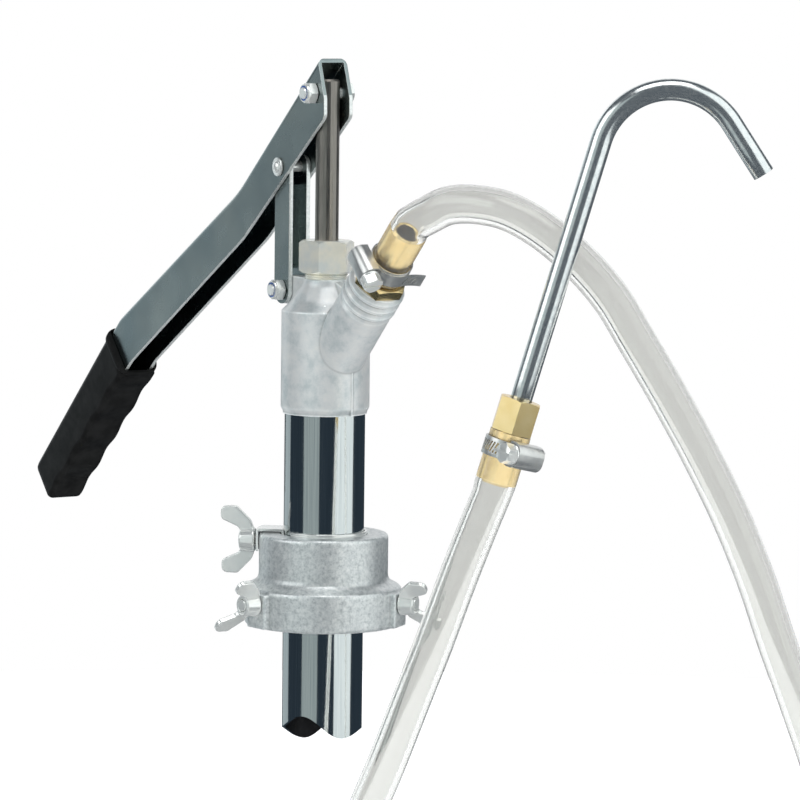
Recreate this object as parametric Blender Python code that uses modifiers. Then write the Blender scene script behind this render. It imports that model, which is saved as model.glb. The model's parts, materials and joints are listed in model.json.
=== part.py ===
"""Lever-action drum pump: collar, pump head and tube, piston set, lever with its link, hose and hook spout.

Lengths below are in millimetres. MM turns them into Blender's metres. The origin is the centre of the
collar's underside, +Z is up, and the lever works in the XZ plane.
"""

import math

import bmesh
import bpy
import numpy as np
from mathutils import Matrix, Vector

MM = 0.001
GAP = 0.3

# Collar
COLLAR_RING_R = 40.0
COLLAR_RING_TOP = 20.0
COLLAR_NECK_R = 33.0
COLLAR_TOP = 46.5
COLLAR_BORE_R = 22.4
BUNG_SOCKET_R = 31.5
BUNG_SOCKET_DEPTH = 19.0
BOSS_FACE_R = 42.8
BOSS_WIDTH = 15.0
BOSS_HEIGHT = 17.6
BOSS_DEPTH = 8.0
BOSS_Z = 9.4
BUNG_SCREW_ANGLES = (-84.0, 36.0, 156.0)
BUNG_WING_TURNS = (40.0, -45.0, 45.0)
BUNG_SCREW_Z = 13.0
BUNG_STUD_R = 3.0
TUBE_SCREW_ANGLE = -128.0
TUBE_SCREW_Z = 42.0
TUBE_WING_TURN = 8.0
TUBE_STUD_R = 2.5
CLIP_THICKNESS = 1.2
CLIP_WIDTH = 15.0

# Pump tube and valves
TUBE_R = 20.5
TUBE_WALL = 1.5
TUBE_TOP = 129.7
FOOT_Z = -54.2
FOOT_TURN = math.radians(-32.0)
FOOT_WAVE = 5.6
FOOT_TILT = 3.4
BALL_R = 9.5
BALL_Z = -27.3

# Head
HEAD_R = 22.6
HEAD_BOTTOM = 107.8
HEAD_SHOULDER = 160.3
HEAD_FLAT = 176.3
NECK_R = 10.9
NECK_TOP = 186.0
ROD_R = 6.0
ROD_BORE_R = ROD_R + GAP
BRANCH_R = 14.2
BRANCH_END = 71.3
BRANCH_ROOT = Vector((0.0, 0.0, 127.4))
BRANCH_AXIS = Vector((1.0, 0.0, 1.0)).normalized()

# Lever linkage, as points in the XZ plane
LINK_PIVOT = Vector((-34.4, 0.0, 168.6))
FULCRUM = Vector((-34.4, 0.0, 231.6))
ROD_PIVOT = Vector((0.0, 0.0, 270.3))
BOLT_R = 3.0
RIVET_R = 2.75
LEVER_WIDTH = 17.0
LEVER_WALL = 2.0
LINK_WALL = 2.2
GRIP_MOUTH = Vector((-206.0, 0.0, 122.9))
GRIP_SLOPE = math.radians(42.5)
GRIP_LENGTH = 120.0

# Outlet tail, hose and spout
TAIL_END = 110.0
HOSE_R = 9.5
CUFF_R = 10.0
BARB_R = 7.0
CLAMP_BAND_HALF = 4.5
OUTLET_CLAMP_S = 85.2
OUTLET_CLAMP_TURN = math.radians(180)
SPOUT_CLAMP_TURN = math.radians(38)
SPOUT_PLANE = math.radians(58.0)
SPOUT_BASE = (91.44, 130.0, 113.29)
SPOUT_LEAN = math.radians(16.28)
SPOUT_HEX = 16.4
SPOUT_BARB = 26.0
SPOUT_STRAIGHT = 129.2
SPOUT_BEND_R = 34.5
SPOUT_BEND = math.radians(130.4)
SPOUT_TIP = 28.8
SPOUT_TUBE_R = 5.25
SPOUT_TUBE_WALL = 1.2

# The hose's way from the outlet tail to the spout, between its two straight ends
HOSE_ROUTE = (
    (92, 3, 214), (104, 7, 219), (118, 14, 220), (133, 23, 217), (147, 34, 208), (160, 46, 194),
    (171, 57, 177), (179, 66, 158), (189, 81, 128), (197, 95, 99), (202, 109, 70), (205, 122, 40),
    (206, 134, 10), (208, 147, -22), (211, 161, -60), (213, 171, -100), (212, 174, -140),
    (207, 170, -180), (197, 156, -218), (182, 135, -249), (163, 107, -270), (143, 76, -277),
    (123, 43, -270), (107, 14, -250), (96, -11, -220), (91, -30, -184), (92, -41, -146),
    (99, -44, -110), (108, -42, -82), (119, -34, -49), (127, -26, -19), (135, -18, 11),
    (142, -10, 41), (149, -3, 67),
)
HOSE_SPACING = 22.0

# Colour, roughness and metallic value of each finish
LOOKS = {
    "cast_zinc": ((0.52, 0.54, 0.53), 0.42, 0.85),
    "tube_steel": ((0.62, 0.64, 0.66), 0.16, 1.0),
    "channel_steel": ((0.33, 0.37, 0.37), 0.38, 0.9),
    "fastener_steel": ((0.66, 0.67, 0.66), 0.28, 1.0),
    "rod_steel": ((0.46, 0.40, 0.33), 0.34, 1.0),
    "brass": ((0.80, 0.66, 0.38), 0.24, 1.0),
    "grip_rubber": ((0.02, 0.02, 0.02), 0.5, 0.0),
    "seal_rubber": ((0.03, 0.03, 0.03), 0.6, 0.0),
    "packing": ((0.25, 0.22, 0.17), 0.8, 0.0),
    "nylon_blue": ((0.10, 0.25, 0.55), 0.45, 0.0),
    "clear_hose": ((0.80, 0.83, 0.84), 0.15, 0.0),
}


def radial(angle, radius, height):
    turn = math.radians(angle)
    return Vector((radius * math.cos(turn), radius * math.sin(turn), height))


def branch(s):
    return BRANCH_ROOT + BRANCH_AXIS * s


def spout_point(across, toward, up):
    """A point given across the spout's plane, out of it, and up."""
    along = Vector((math.cos(SPOUT_PLANE), math.sin(SPOUT_PLANE), 0.0))
    outward = Vector((math.sin(SPOUT_PLANE), -math.cos(SPOUT_PLANE), 0.0))
    return along * across + outward * toward + Vector((0.0, 0.0, up))


SPOUT_OUT = spout_point(0.0, 1.0, 0.0)
SPOUT_AXIS = spout_point(math.sin(SPOUT_LEAN), 0.0, math.cos(SPOUT_LEAN))
SPOUT_ROOT = spout_point(*SPOUT_BASE)
SPOUT_CLAMP = SPOUT_ROOT - SPOUT_AXIS * 8.5
GRIP_ALONG = Vector((-math.cos(GRIP_SLOPE), 0.0, -math.sin(GRIP_SLOPE)))
GRIP_UP = Vector((-math.sin(GRIP_SLOPE), 0.0, math.cos(GRIP_SLOPE)))


# ---------------------------------------------------------------- scene

def clear_scene():
    for obj in list(bpy.data.objects):
        bpy.data.objects.remove(obj, do_unlink=True)
    for collection in list(bpy.data.collections):
        bpy.data.collections.remove(collection)


def new_collection(name):
    collection = bpy.data.collections.new(name)
    bpy.context.scene.collection.children.link(collection)
    return collection


def make_materials():
    for name, (colour, roughness, metallic) in LOOKS.items():
        material = bpy.data.materials.new(name)
        material.use_nodes = True
        shader = material.node_tree.nodes["Principled BSDF"]
        shader.inputs["Base Color"].default_value = (*colour, 1.0)
        shader.inputs["Roughness"].default_value = roughness
        shader.inputs["Metallic"].default_value = metallic


clear_scene()
PARTS = new_collection("hand_drum_pump")
TOOLS = new_collection("cutters")
EMPTIES = new_collection("bodies")
make_materials()


def add_body(name, parent, centre):
    """An empty on the joint's axis, which the body's pieces hang from."""
    empty = bpy.data.objects.new("body_" + name, None)
    empty.empty_display_size = 10 * MM
    EMPTIES.objects.link(empty)
    empty.matrix_world = Matrix.Translation(Vector(centre) * MM)
    if parent:
        hang(empty, parent)


def hang(obj, body):
    bpy.context.view_layer.update()
    holder = bpy.data.objects["body_" + body]
    obj.parent = holder
    obj.matrix_parent_inverse = holder.matrix_world.inverted()


def place(centre=(0, 0, 0), z=(0, 0, 1), x=None):
    """A frame at centre, with its Z along z and its X as near to x, or to the world's X, as it can be."""
    axis_z = Vector(z).normalized()
    guide = Vector((1, 0, 0) if x is None else x)
    axis_x = (guide - axis_z * guide.dot(axis_z)).normalized()
    axis_y = axis_z.cross(axis_x)
    frame = Matrix((axis_x, axis_y, axis_z)).transposed().to_4x4()
    frame.translation = Vector(centre) * MM
    return frame


# ---------------------------------------------------------------- shapes

def tool(name, data, where):
    """A helper object: it stays a cutter until part() makes it a piece."""
    obj = bpy.data.objects.new(name, data)
    obj.matrix_world = where
    obj.hide_render = True
    obj.display_type = "WIRE"
    TOOLS.objects.link(obj)
    return obj


def part(obj, name, look, body):
    obj.name = name
    obj.data.materials.append(bpy.data.materials[look])
    obj.hide_render = False
    obj.display_type = "TEXTURED"
    TOOLS.objects.unlink(obj)
    PARTS.objects.link(obj)
    hang(obj, body)
    return obj


def turned(profile, where, steps=28):
    """Turns (radius, height) points about Z. A profile that keeps off the axis is a closed ring."""
    mesh = bpy.data.meshes.new("turned")
    ring = min(radius for radius, height in profile) > 0
    count = len(profile)
    edges = [(i, (i + 1) % count) for i in range(count if ring else count - 1)]
    mesh.from_pydata([(radius * MM, 0.0, height * MM) for radius, height in profile], edges, [])
    obj = tool("turned", mesh, where)
    screw = obj.modifiers.new("turn", "SCREW")
    screw.axis = "Z"
    screw.angle = math.tau
    screw.steps = steps
    screw.render_steps = steps
    screw.use_merge_vertices = True
    screw.merge_threshold = 0.00001
    screw.use_smooth_shade = steps > 8
    return obj


def cylinder(radius, low, high, where, steps=16):
    return turned([(0, high), (radius, high), (radius, low), (0, low)], where, steps)


def ring(inner, outer, low, high, where, steps=28):
    return turned([(outer, high), (outer, low), (inner, low), (inner, high)], where, steps)


def hexagon(across_flats, low, high, where, chamfer=0.0):
    """A hexagonal bar with a corner on its frame's X, chamfered at its high end."""
    corner = across_flats / math.sqrt(3)
    bar = turned([(0, high), (corner, high), (corner, low), (0, low)], where, 6)
    if chamfer:
        flat = across_flats / 2
        rise = (corner + 1 - flat) * math.tan(chamfer)
        trim = [(0, high + 1), (flat, high + 1), (flat, high), (corner + 1, high - rise)]
        trim += [(corner + 1, low - 1), (0, low - 1)]
        boolean(bar, turned(trim, where, 36), "INTERSECT")
    return bar


def block(size, where):
    """A box centred on its frame."""
    data = bpy.data.meshes.new("block")
    mesh = bmesh.new()
    bmesh.ops.create_cube(mesh, size=1.0)
    bmesh.ops.scale(mesh, vec=Vector(size) * MM, verts=mesh.verts)
    mesh.to_mesh(data)
    mesh.free()
    return tool("block", data, where)


def rounded(corners, closed=True, step=math.radians(12)):
    """Points of an outline whose (x, y, radius) corners are rounded."""
    count = len(corners)
    points = []
    for i, (x, y, radius) in enumerate(corners):
        corner = Vector((x, y))
        if radius == 0 or (not closed and i in (0, count - 1)):
            points.append(corner)
            continue
        back = (Vector(corners[i - 1][:2]) - corner).normalized()
        ahead = (Vector(corners[(i + 1) % count][:2]) - corner).normalized()
        half = math.acos(max(-1.0, min(1.0, back.dot(ahead)))) / 2
        centre = corner + (back + ahead).normalized() * radius / math.sin(half)
        first = corner + back * radius / math.tan(half) - centre
        turn = math.pi - 2 * half
        side = 1.0 if back.x * ahead.y - back.y * ahead.x < 0 else -1.0
        pieces = max(2, math.ceil(turn / step))
        for k in range(pieces + 1):
            angle = side * turn * k / pieces
            points.append(centre + Matrix.Rotation(angle, 2) @ first)
    return points


def meshed(obj):
    """The mesh of a curve object, with its caps welded, in the curve's place."""
    bpy.context.view_layer.update()
    data = bpy.data.meshes.new_from_object(obj.evaluated_get(bpy.context.evaluated_depsgraph_get()))
    mesh = bmesh.new()
    mesh.from_mesh(data)
    bmesh.ops.remove_doubles(mesh, verts=mesh.verts, dist=0.000001)
    bmesh.ops.recalc_face_normals(mesh, faces=mesh.faces)
    mesh.to_mesh(data)
    mesh.free()
    result = tool("meshed", data, obj.matrix_world)
    bpy.data.objects.remove(obj, do_unlink=True)
    return result


def plate(points, thickness, where):
    """A flat plate: its outline lies in its frame's XY plane, its thickness runs both ways along Z."""
    curve = bpy.data.curves.new("plate", "CURVE")
    curve.dimensions = "2D"
    curve.fill_mode = "BOTH"
    curve.extrude = thickness / 2 * MM
    spline = curve.splines.new("POLY")
    spline.points.add(len(points) - 1)
    for target, point in zip(spline.points, points):
        target.co = (point[0] * MM, point[1] * MM, 0.0, 1.0)
    spline.use_cyclic_u = True
    return meshed(tool("plate", curve, where))


def tube(points, radius, resolution, caps=True):
    curve = bpy.data.curves.new("tube", "CURVE")
    curve.dimensions = "3D"
    curve.bevel_depth = radius * MM
    curve.bevel_resolution = resolution
    curve.use_fill_caps = caps
    spline = curve.splines.new("POLY")
    spline.points.add(len(points) - 1)
    for target, point in zip(spline.points, points):
        target.co = (*(Vector(point) * MM), 1.0)
    return meshed(tool("tube", curve, Matrix()))


def loft(sections):
    """A closed solid through sections that have the same number of points."""
    data = bpy.data.meshes.new("loft")
    mesh = bmesh.new()
    rows = [[mesh.verts.new(Vector(point) * MM) for point in section] for section in sections]
    count = len(rows[0])
    for low, high in zip(rows, rows[1:]):
        for i in range(count):
            j = (i + 1) % count
            mesh.faces.new((low[i], low[j], high[j], high[i]))
    mesh.faces.new(rows[0])
    mesh.faces.new(rows[-1])
    bmesh.ops.recalc_face_normals(mesh, faces=mesh.faces)
    mesh.to_mesh(data)
    mesh.free()
    return tool("loft", data, Matrix())


def boolean(target, other, operation):
    modifier = target.modifiers.new(operation.lower(), "BOOLEAN")
    modifier.operation = operation
    modifier.solver = "EXACT"
    modifier.object = other


def cut(target, *others):
    for other in others:
        boolean(target, other, "DIFFERENCE")


def join(target, *others):
    for other in others:
        boolean(target, other, "UNION")


def smooth_route(points, spacing):
    """Evenly spaced points on one smooth curve through the given points."""
    given = np.array([tuple(point) for point in points], float)
    padded = np.vstack([2 * given[0] - given[1], given, 2 * given[-1] - given[-2]])
    fine = []
    for a, b, c, d in zip(padded, padded[1:], padded[2:], padded[3:]):
        for t in np.linspace(0.0, 1.0, 20, endpoint=False):
            fine.append(0.5 * (2 * b + (c - a) * t + (2 * a - 5 * b + 4 * c - d) * t**2
                               + (3 * b - a - 3 * c + d) * t**3))
    fine = np.array(fine + [given[-1]])
    lengths = np.concatenate([[0.0], np.cumsum(np.linalg.norm(np.diff(fine, axis=0), axis=1))])
    stations = np.linspace(0.0, lengths[-1], round(lengths[-1] / spacing) + 1)
    return [Vector([np.interp(s, lengths, fine[:, k]) for k in range(3)]) for s in stations]


# ---------------------------------------------------------------- collar and its screws

def radial_frame(angle, height, x=(0, 0, 1)):
    """Z points outward from the pump's axis."""
    return place((0, 0, height), radial(angle, 1, 0), x)


def make_collar():
    profile = [
        (COLLAR_BORE_R, COLLAR_TOP), (31.9, COLLAR_TOP), (COLLAR_NECK_R, 45.4), (COLLAR_NECK_R, 24.2),
        (34.6, 21.6), (38.6, COLLAR_RING_TOP), (COLLAR_RING_R, 18.6), (COLLAR_RING_R, 1.0), (39.0, 0.0),
        (BUNG_SOCKET_R, 0.0),
        (BUNG_SOCKET_R, BUNG_SOCKET_DEPTH), (28.0, BUNG_SOCKET_DEPTH), (28.0, 36.0), (COLLAR_BORE_R, 36.0),
    ]
    collar = turned(profile, place(), 40)
    for angle in BUNG_SCREW_ANGLES:
        centre = radial(angle, BOSS_FACE_R - BOSS_DEPTH / 2, BOSS_Z)
        boss = block((BOSS_HEIGHT, BOSS_WIDTH, BOSS_DEPTH), place(centre, radial(angle, 1, 0), (0, 0, 1)))
        join(collar, boss)
        cut(collar, cylinder(BUNG_STUD_R + GAP, 28, 46, radial_frame(angle, BUNG_SCREW_Z), 12))
    cut(collar, cylinder(TUBE_STUD_R + GAP, 18, 36, radial_frame(TUBE_SCREW_ANGLE, TUBE_SCREW_Z), 12))
    part(collar, "clamp_collar", "cast_zinc", "root")


def make_clip():
    """A sheet clip over the collar's rim: its inner leg is what the tube screw presses on the tube."""
    inner = TUBE_R + GAP
    outer = COLLAR_NECK_R + 0.5
    top = COLLAR_TOP + 2.1
    profile = [
        (outer, top), (outer + CLIP_THICKNESS, top - CLIP_THICKNESS), (outer + CLIP_THICKNESS, 37.0),
        (outer, 37.0), (outer, top - CLIP_THICKNESS), (inner + CLIP_THICKNESS, top - CLIP_THICKNESS),
        (inner + CLIP_THICKNESS, 38.0), (inner, 38.0), (inner, top),
    ]
    clip = turned(profile, place(), 60)
    centre = radial(TUBE_SCREW_ANGLE, 28, TUBE_SCREW_Z)
    span = block((40, CLIP_WIDTH, 24), place(centre, radial(TUBE_SCREW_ANGLE, 1, 0), (0, 0, 1)))
    boolean(clip, span, "INTERSECT")
    cut(clip, cylinder(TUBE_STUD_R + GAP, 28, 40, radial_frame(TUBE_SCREW_ANGLE, TUBE_SCREW_Z), 16))
    part(clip, "clamp_clip", "fastener_steel", "root")


def wing_nut(name, where, stud_r, body):
    """Hub on Z from 0 to 8, with two wings that rise beyond it."""
    hub = turned([(0, 8), (5.2, 8), (6.2, 0), (0, 0)], where, 16)
    side = [
        (6.0, 0.9, 0), (9.5, 2.6, 4), (17.2, 10.0, 2.5), (17.2, 17.2, 2.6), (11.6, 17.2, 2.4), (7.6, 8.2, 3),
    ]
    mirrored = [(-x, y, radius) for x, y, radius in reversed(side)]
    outline = rounded(side + [(4.0, 7.0, 0), (-4.0, 7.0, 0)] + mirrored, step=math.radians(45))
    wings = plate(outline, 2.4, where @ place(z=(0, -1, 0), x=(1, 0, 0)))
    join(hub, wings)
    cut(hub, cylinder(stud_r + GAP, -1, 20, where, 12))
    part(hub, name, "fastener_steel", body)


def wing_direction(angle, turn):
    """The way a wing points, square to its screw: turn degrees from upright."""
    upright = Vector((0, 0, 1))
    tangent = upright.cross(radial(angle, 1, 0))
    return upright * math.cos(math.radians(turn)) + tangent * math.sin(math.radians(turn))


def make_screws():
    stud_profile = [(0, 51.5), (2.5, 51.5), (BUNG_STUD_R, 51.0), (BUNG_STUD_R, 30.2), (2.3, 29.5), (0, 29.5)]
    for number, (angle, turn) in enumerate(zip(BUNG_SCREW_ANGLES, BUNG_WING_TURNS), 1):
        where = radial_frame(angle, BUNG_SCREW_Z, wing_direction(angle, turn))
        part(turned(stud_profile, where, 12), f"bung_stud_{number}", "fastener_steel", f"stud_{number}")
        seat = where @ Matrix.Translation((0, 0, 43.2 * MM))
        wing_nut(f"bung_wing_nut_{number}", seat, BUNG_STUD_R, f"wing_{number}")
    where = radial_frame(TUBE_SCREW_ANGLE, TUBE_SCREW_Z, wing_direction(TUBE_SCREW_ANGLE, TUBE_WING_TURN))
    tip = TUBE_R + 2 * GAP + CLIP_THICKNESS
    stud = turned([(0, 43.7), (2.1, 43.7), (TUBE_STUD_R, 43.2), (TUBE_STUD_R, tip), (0, tip)], where, 12)
    part(stud, "tube_stud", "fastener_steel", "tube_stud")
    wing_nut("tube_wing_nut", where @ Matrix.Translation((0, 0, 35.3 * MM)), TUBE_STUD_R, "tube_wing")


# ---------------------------------------------------------------- tube, valves and piston

def make_tube():
    data = bpy.data.meshes.new("tube")
    mesh = bmesh.new()
    height = (TUBE_TOP - FOOT_Z) * MM
    middle = Matrix.Translation((0, 0, (TUBE_TOP + FOOT_Z) / 2 * MM))
    bmesh.ops.create_cone(mesh, segments=40, radius1=TUBE_R * MM, radius2=TUBE_R * MM, depth=height,
                          cap_ends=False, matrix=middle)
    for vert in mesh.verts:
        if vert.co.z < 0:
            turn = math.atan2(vert.co.y, vert.co.x) - FOOT_TURN
            bend = math.sin(math.pi * math.sin(turn))
            wave = math.copysign(FOOT_WAVE * bend, bend * math.cos(turn))
            vert.co.z = (FOOT_Z - wave + FOOT_TILT * math.cos(turn)) * MM
    mesh.to_mesh(data)
    mesh.free()
    obj = tool("tube", data, place())
    wall = obj.modifiers.new("wall", "SOLIDIFY")
    wall.thickness = TUBE_WALL * MM
    wall.offset = -1.0
    part(obj, "pump_tube", "tube_steel", "pump")
    part(ring(17.2, TUBE_R, 130.0, 132.8, place()), "tube_seal", "seal_rubber", "pump")


def make_foot_valve():
    seat = turned([(18.7, -34), (18.7, -42), (8.5, -42), (7.0, -40), (7.0, -34)], place())
    part(seat, "foot_valve_seat", "brass", "pump")
    cage = ring(15.0, 18.6, -33.7, -29.0, place())
    across = radial(33, 1, 0)
    for side in (-1, 1):
        join(cage, block((3.4, 5.0, 21.0), place(across * 14.1 * side + Vector((0, 0, -20.6)), x=across)))
    join(cage, block((31.0, 5.4, 2.4), place((0, 0, -11.2), x=across)))
    part(cage, "foot_valve_cage", "brass", "pump")
    ball = bmesh.new()
    bmesh.ops.create_uvsphere(ball, u_segments=16, v_segments=10, radius=BALL_R * MM)
    data = bpy.data.meshes.new("ball")
    ball.to_mesh(data)
    ball.free()
    part(tool("ball", data, place((0, 0, BALL_Z))), "foot_valve_ball", "fastener_steel", "foot_ball")


def make_piston_set():
    bolt = place(ROD_PIVOT, (0, 1, 0))
    top = 277.3
    rod_profile = [(0, top), (ROD_R - 1, top), (ROD_R, top - 1), (ROD_R, 83), (4, 83), (4, 59), (0, 59)]
    rod = turned(rod_profile, place(), 20)
    cut(rod, cylinder(BOLT_R + GAP, -10, 10, bolt, 14))
    part(rod, "piston_rod", "rod_steel", "rod")
    bore = 4.3
    profile = [
        (5.5, 81), (5.5, 75), (18.3, 75), (18.3, 73), (15.8, 73), (15.8, 69), (18.3, 69), (18.3, 67),
        (bore, 67), (bore, 81),
    ]
    piston = turned(profile, place(), 28)
    for k in range(6):
        centre = radial(60 * k, 11.5, 71)
        cut(piston, cylinder(2.5, -6, 6, place(centre), 8))
    part(piston, "piston", "brass", "rod")
    part(ring(16.1, 18.7, 69.3, 72.7, place(), 28), "piston_seal", "seal_rubber", "rod")
    nut = hexagon(13, 60.7, 66.7, place())
    cut(nut, cylinder(bore, 58, 69, place(), 14))
    part(nut, "piston_nut", "fastener_steel", "rod")
    part(ring(5.9, 15.5, 75.3, 77.3, place(), 24), "piston_valve_disc", "seal_rubber", "piston_valve")
    part(ring(bore, 10.0, 81.3, 82.7, place(), 24), "valve_stop_washer", "fastener_steel", "rod")


# ---------------------------------------------------------------- head and gland

def make_head():
    profile = [
        (0, NECK_TOP), (NECK_R, NECK_TOP), (NECK_R, HEAD_FLAT), (11.8, HEAD_FLAT), (12.6, 173.0),
        (14.5, 169.5), (17.5, 165.5), (20.0, 162.8), (HEAD_R, HEAD_SHOULDER), (HEAD_R, 111.2), (21.4, 109.0),
        (21.4, HEAD_BOTTOM), (0, HEAD_BOTTOM),
    ]
    head = turned(profile, place(), 36)
    along = place(BRANCH_ROOT, BRANCH_AXIS)
    ridges = []
    for k in range(3):
        top = BRANCH_END - 5.0 * k
        ridges += [(13.3, top), (14.7, top - 1.8), (14.7, top - 3.2)]
    root = [(13.3, 56.3), (BRANCH_R, 54), (BRANCH_R, 12), (0, 12)]
    join(head, turned([(0, BRANCH_END)] + ridges + root, along, 26))
    reach = LINK_PIVOT.x
    lug = rounded([(-10, 176.0, 0), (reach - 7.4, 176.0, 7.3), (reach - 7.4, 161.2, 7.3), (-10, 161.2, 0)])
    join(head, plate(lug, 7.4, place(z=(0, -1, 0), x=(1, 0, 0))))
    inside = [
        (0, 190), (8.9, 190), (8.9, 171.7), (ROD_BORE_R, 171.7), (ROD_BORE_R, 163), (9, 163), (16.5, 158),
        (16.5, 133.2), (TUBE_R + 0.35, 133.2), (TUBE_R + 0.35, 105), (0, 105),
    ]
    cut(head, turned(inside, place(), 36))
    cut(head, turned([(0, 76), (10.6, 76), (10.6, 59.3), (9.0, 59.3), (9.0, 18), (0, 18)], along, 22))
    cut(head, cylinder(BOLT_R + GAP, -10, 10, place(LINK_PIVOT, (0, 1, 0)), 12))
    part(head, "pump_head", "cast_zinc", "pump")


def make_gland():
    where = place(x=radial(-47, 1, 0))
    nut = hexagon(25, 179.4, 196, where, math.radians(30))
    cut(nut, turned([(0, 192), (NECK_R + GAP, 192), (NECK_R + GAP, 178), (0, 178)], where, 24))
    cut(nut, cylinder(ROD_BORE_R, 185, 198, where))
    part(nut, "gland_nut", "brass", "gland_nut")
    part(ring(ROD_BORE_R, 8.6, 182, 191.7, place(), 20), "gland_follower", "brass", "gland_follower")
    part(ring(ROD_BORE_R, 8.6, 172, 181.7, place(), 20), "gland_packing", "packing", "pump")


# ---------------------------------------------------------------- lever, link and pivots

def side_view():
    """Outlines drawn as (x, z) lie in the XZ plane."""
    return place(z=(0, -1, 0), x=(1, 0, 0))


def grip_point(along, up):
    point = GRIP_MOUTH + GRIP_ALONG * along + GRIP_UP * up
    return (point.x, point.z)


def make_lever():
    tail = 75.0
    spine = [(3.3, 287.8, 0), (-77.9, 216.8, 90), (-206.3, 140.9, 25), (*grip_point(2.5, 13.5), 0)]
    belly = [
        (*grip_point(2.5, -12.5), 0), (-192.6, 118.2, 25), (-71.6, 192.4, 70), (10.2, 258.4, 5),
        (10.0, 268.4, 8),
    ]
    tongue = [(*grip_point(2.5, 11.3), 0), (*grip_point(tail, 11.3), 0), (*grip_point(tail, -11.3), 0),
              (*grip_point(2.5, -11.3), 0)]
    lever = plate(rounded(spine + tongue + belly), LEVER_WIDTH, side_view())
    round_spine(lever.data, rounded(spine, closed=False))
    inner = [
        (20.0, 299.7, 0), (-79.0, 213.5, 92), (-205.0, 138.9, 23), (*grip_point(2.0, 11.5), 0),
        (*grip_point(2.0, 9.3), 0), (*grip_point(tail + 5, 9.3), 0), (*grip_point(tail + 5, -30), 0),
        (40, 200, 0), (40, 299.7, 0),
    ]
    cut(lever, plate(rounded(inner), LEVER_WIDTH - 2 * LEVER_WALL, side_view()))
    cut(lever, cylinder(BOLT_R + GAP, -12, 12, place(ROD_PIVOT, (0, 1, 0)), 14))
    cut(lever, cylinder(RIVET_R + GAP, -12, 12, place(FULCRUM, (0, 1, 0)), 14))
    part(lever, "lever", "channel_steel", "lever")


def round_spine(data, spine):
    """Rounds the two folds where the channel's sides meet its spine."""
    mesh = bmesh.new()
    mesh.from_mesh(data)
    on_spine = [Vector((p[0], p[1])) * MM for p in spine]

    def touches(vert):
        return any((Vector((vert.co.x, vert.co.y)) - p).length < 0.02 * MM for p in on_spine)

    folds = [e for e in mesh.edges if all(map(touches, e.verts))]
    folds = [e for e in folds if abs(e.verts[0].co.z - e.verts[1].co.z) < MM
             and (e.verts[0].co.xy - e.verts[1].co.xy).length > 0.01 * MM]
    folds = [e for e in folds if len({f.normal.z > 0.5 or f.normal.z < -0.5 for f in e.link_faces}) == 2]
    bmesh.ops.bevel(mesh, geom=folds, offset=3.5 * MM, segments=3, affect="EDGES", profile=0.5)
    mesh.to_mesh(data)
    mesh.free()


def grip_section(along, half_width, top, bottom, top_r, bottom_r):
    """A rounded section of the grip, across its length."""
    corners = [(half_width, bottom, bottom_r), (half_width, top, top_r), (-half_width, top, top_r),
               (-half_width, bottom, bottom_r)]
    points = rounded(corners, step=math.radians(30))
    return [GRIP_MOUTH + GRIP_ALONG * along + Vector((0, 1, 0)) * y + GRIP_UP * m for y, m in points]


def make_grip():
    sections = [
        grip_section(0.0, 11.9, 15.4, -15.4, 8.4, 8.4), grip_section(0.7, 12.5, 16.0, -16.0, 9.0, 9.0),
        grip_section(2.6, 12.5, 16.0, -16.0, 9.0, 9.0), grip_section(3.3, 11.9, 15.0, -15.6, 8.4, 8.8),
        grip_section(3.8, 11.5, 13.3, -14.7, 7.0, 9.0),
    ]
    stations = 17
    for k in range(1, stations):
        along = 3.8 + (GRIP_LENGTH - 8.0) * k / stations
        shrink = 1.0 - 0.08 * along / GRIP_LENGTH
        wave = 1.3 * (0.5 - 0.5 * math.cos(math.tau * (along - 8.0) / 27.0)) if along > 8.0 else 0.0
        sections.append(grip_section(along, 11.5 * shrink, 13.3 * shrink, -14.7 * shrink + wave, 7.0 * shrink,
                                     8.6 * shrink))
    for along, shrink in ((GRIP_LENGTH - 3.0, 0.90), (GRIP_LENGTH - 0.8, 0.78), (GRIP_LENGTH, 0.62)):
        sections.append(grip_section(along, 11.5 * shrink, 13.3 * shrink, -14.7 * shrink, 7.0 * shrink,
                                     8.6 * shrink))
    grip = loft(sections)
    pocket = place(GRIP_MOUTH + GRIP_ALONG * 36.0, GRIP_ALONG, GRIP_UP)
    cut(grip, block((23.2, 17.6, 80.0), pocket))
    mouth = place(GRIP_MOUTH, GRIP_ALONG, GRIP_UP)
    cut(grip, block((27.6, 17.6, 6.0), mouth))
    part(grip, "lever_grip", "grip_rubber", "lever")


def make_link():
    """A U-channel. Its slot is where the linkage's loop is opened, so the rivet can run out to one side."""
    half = 7.2
    x, low, high = LINK_PIVOT.x, LINK_PIVOT.z - half, FULCRUM.z + 6.0
    outline = [(x - half, low, 7.1), (x + half, low, 7.1), (x + half, high, 5), (x - half, high, 5)]
    link = plate(rounded(outline, step=math.radians(24)), 12.4, side_view())
    middle = (low + high) / 2
    cut(link, block((30, 8.0, 120), place((x - half + LINK_WALL + 15, 0, middle))))
    cut(link, block((30, 8.0, 17.8), place((x, 0, 170.1))), block((30, 8.0, 24), place((x, 0, 234))))
    slot = block((14, 20, 8.85), place((x - 7.0, 0, FULCRUM.z - 0.98)))
    cut(link, slot, cylinder(RIVET_R + 0.35, -10, 10, place(FULCRUM, (0, 1, 0)), 14))
    cut(link, cylinder(BOLT_R + GAP, -10, 10, place(LINK_PIVOT, (0, 1, 0)), 14))
    part(link, "link", "channel_steel", "link")


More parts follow.
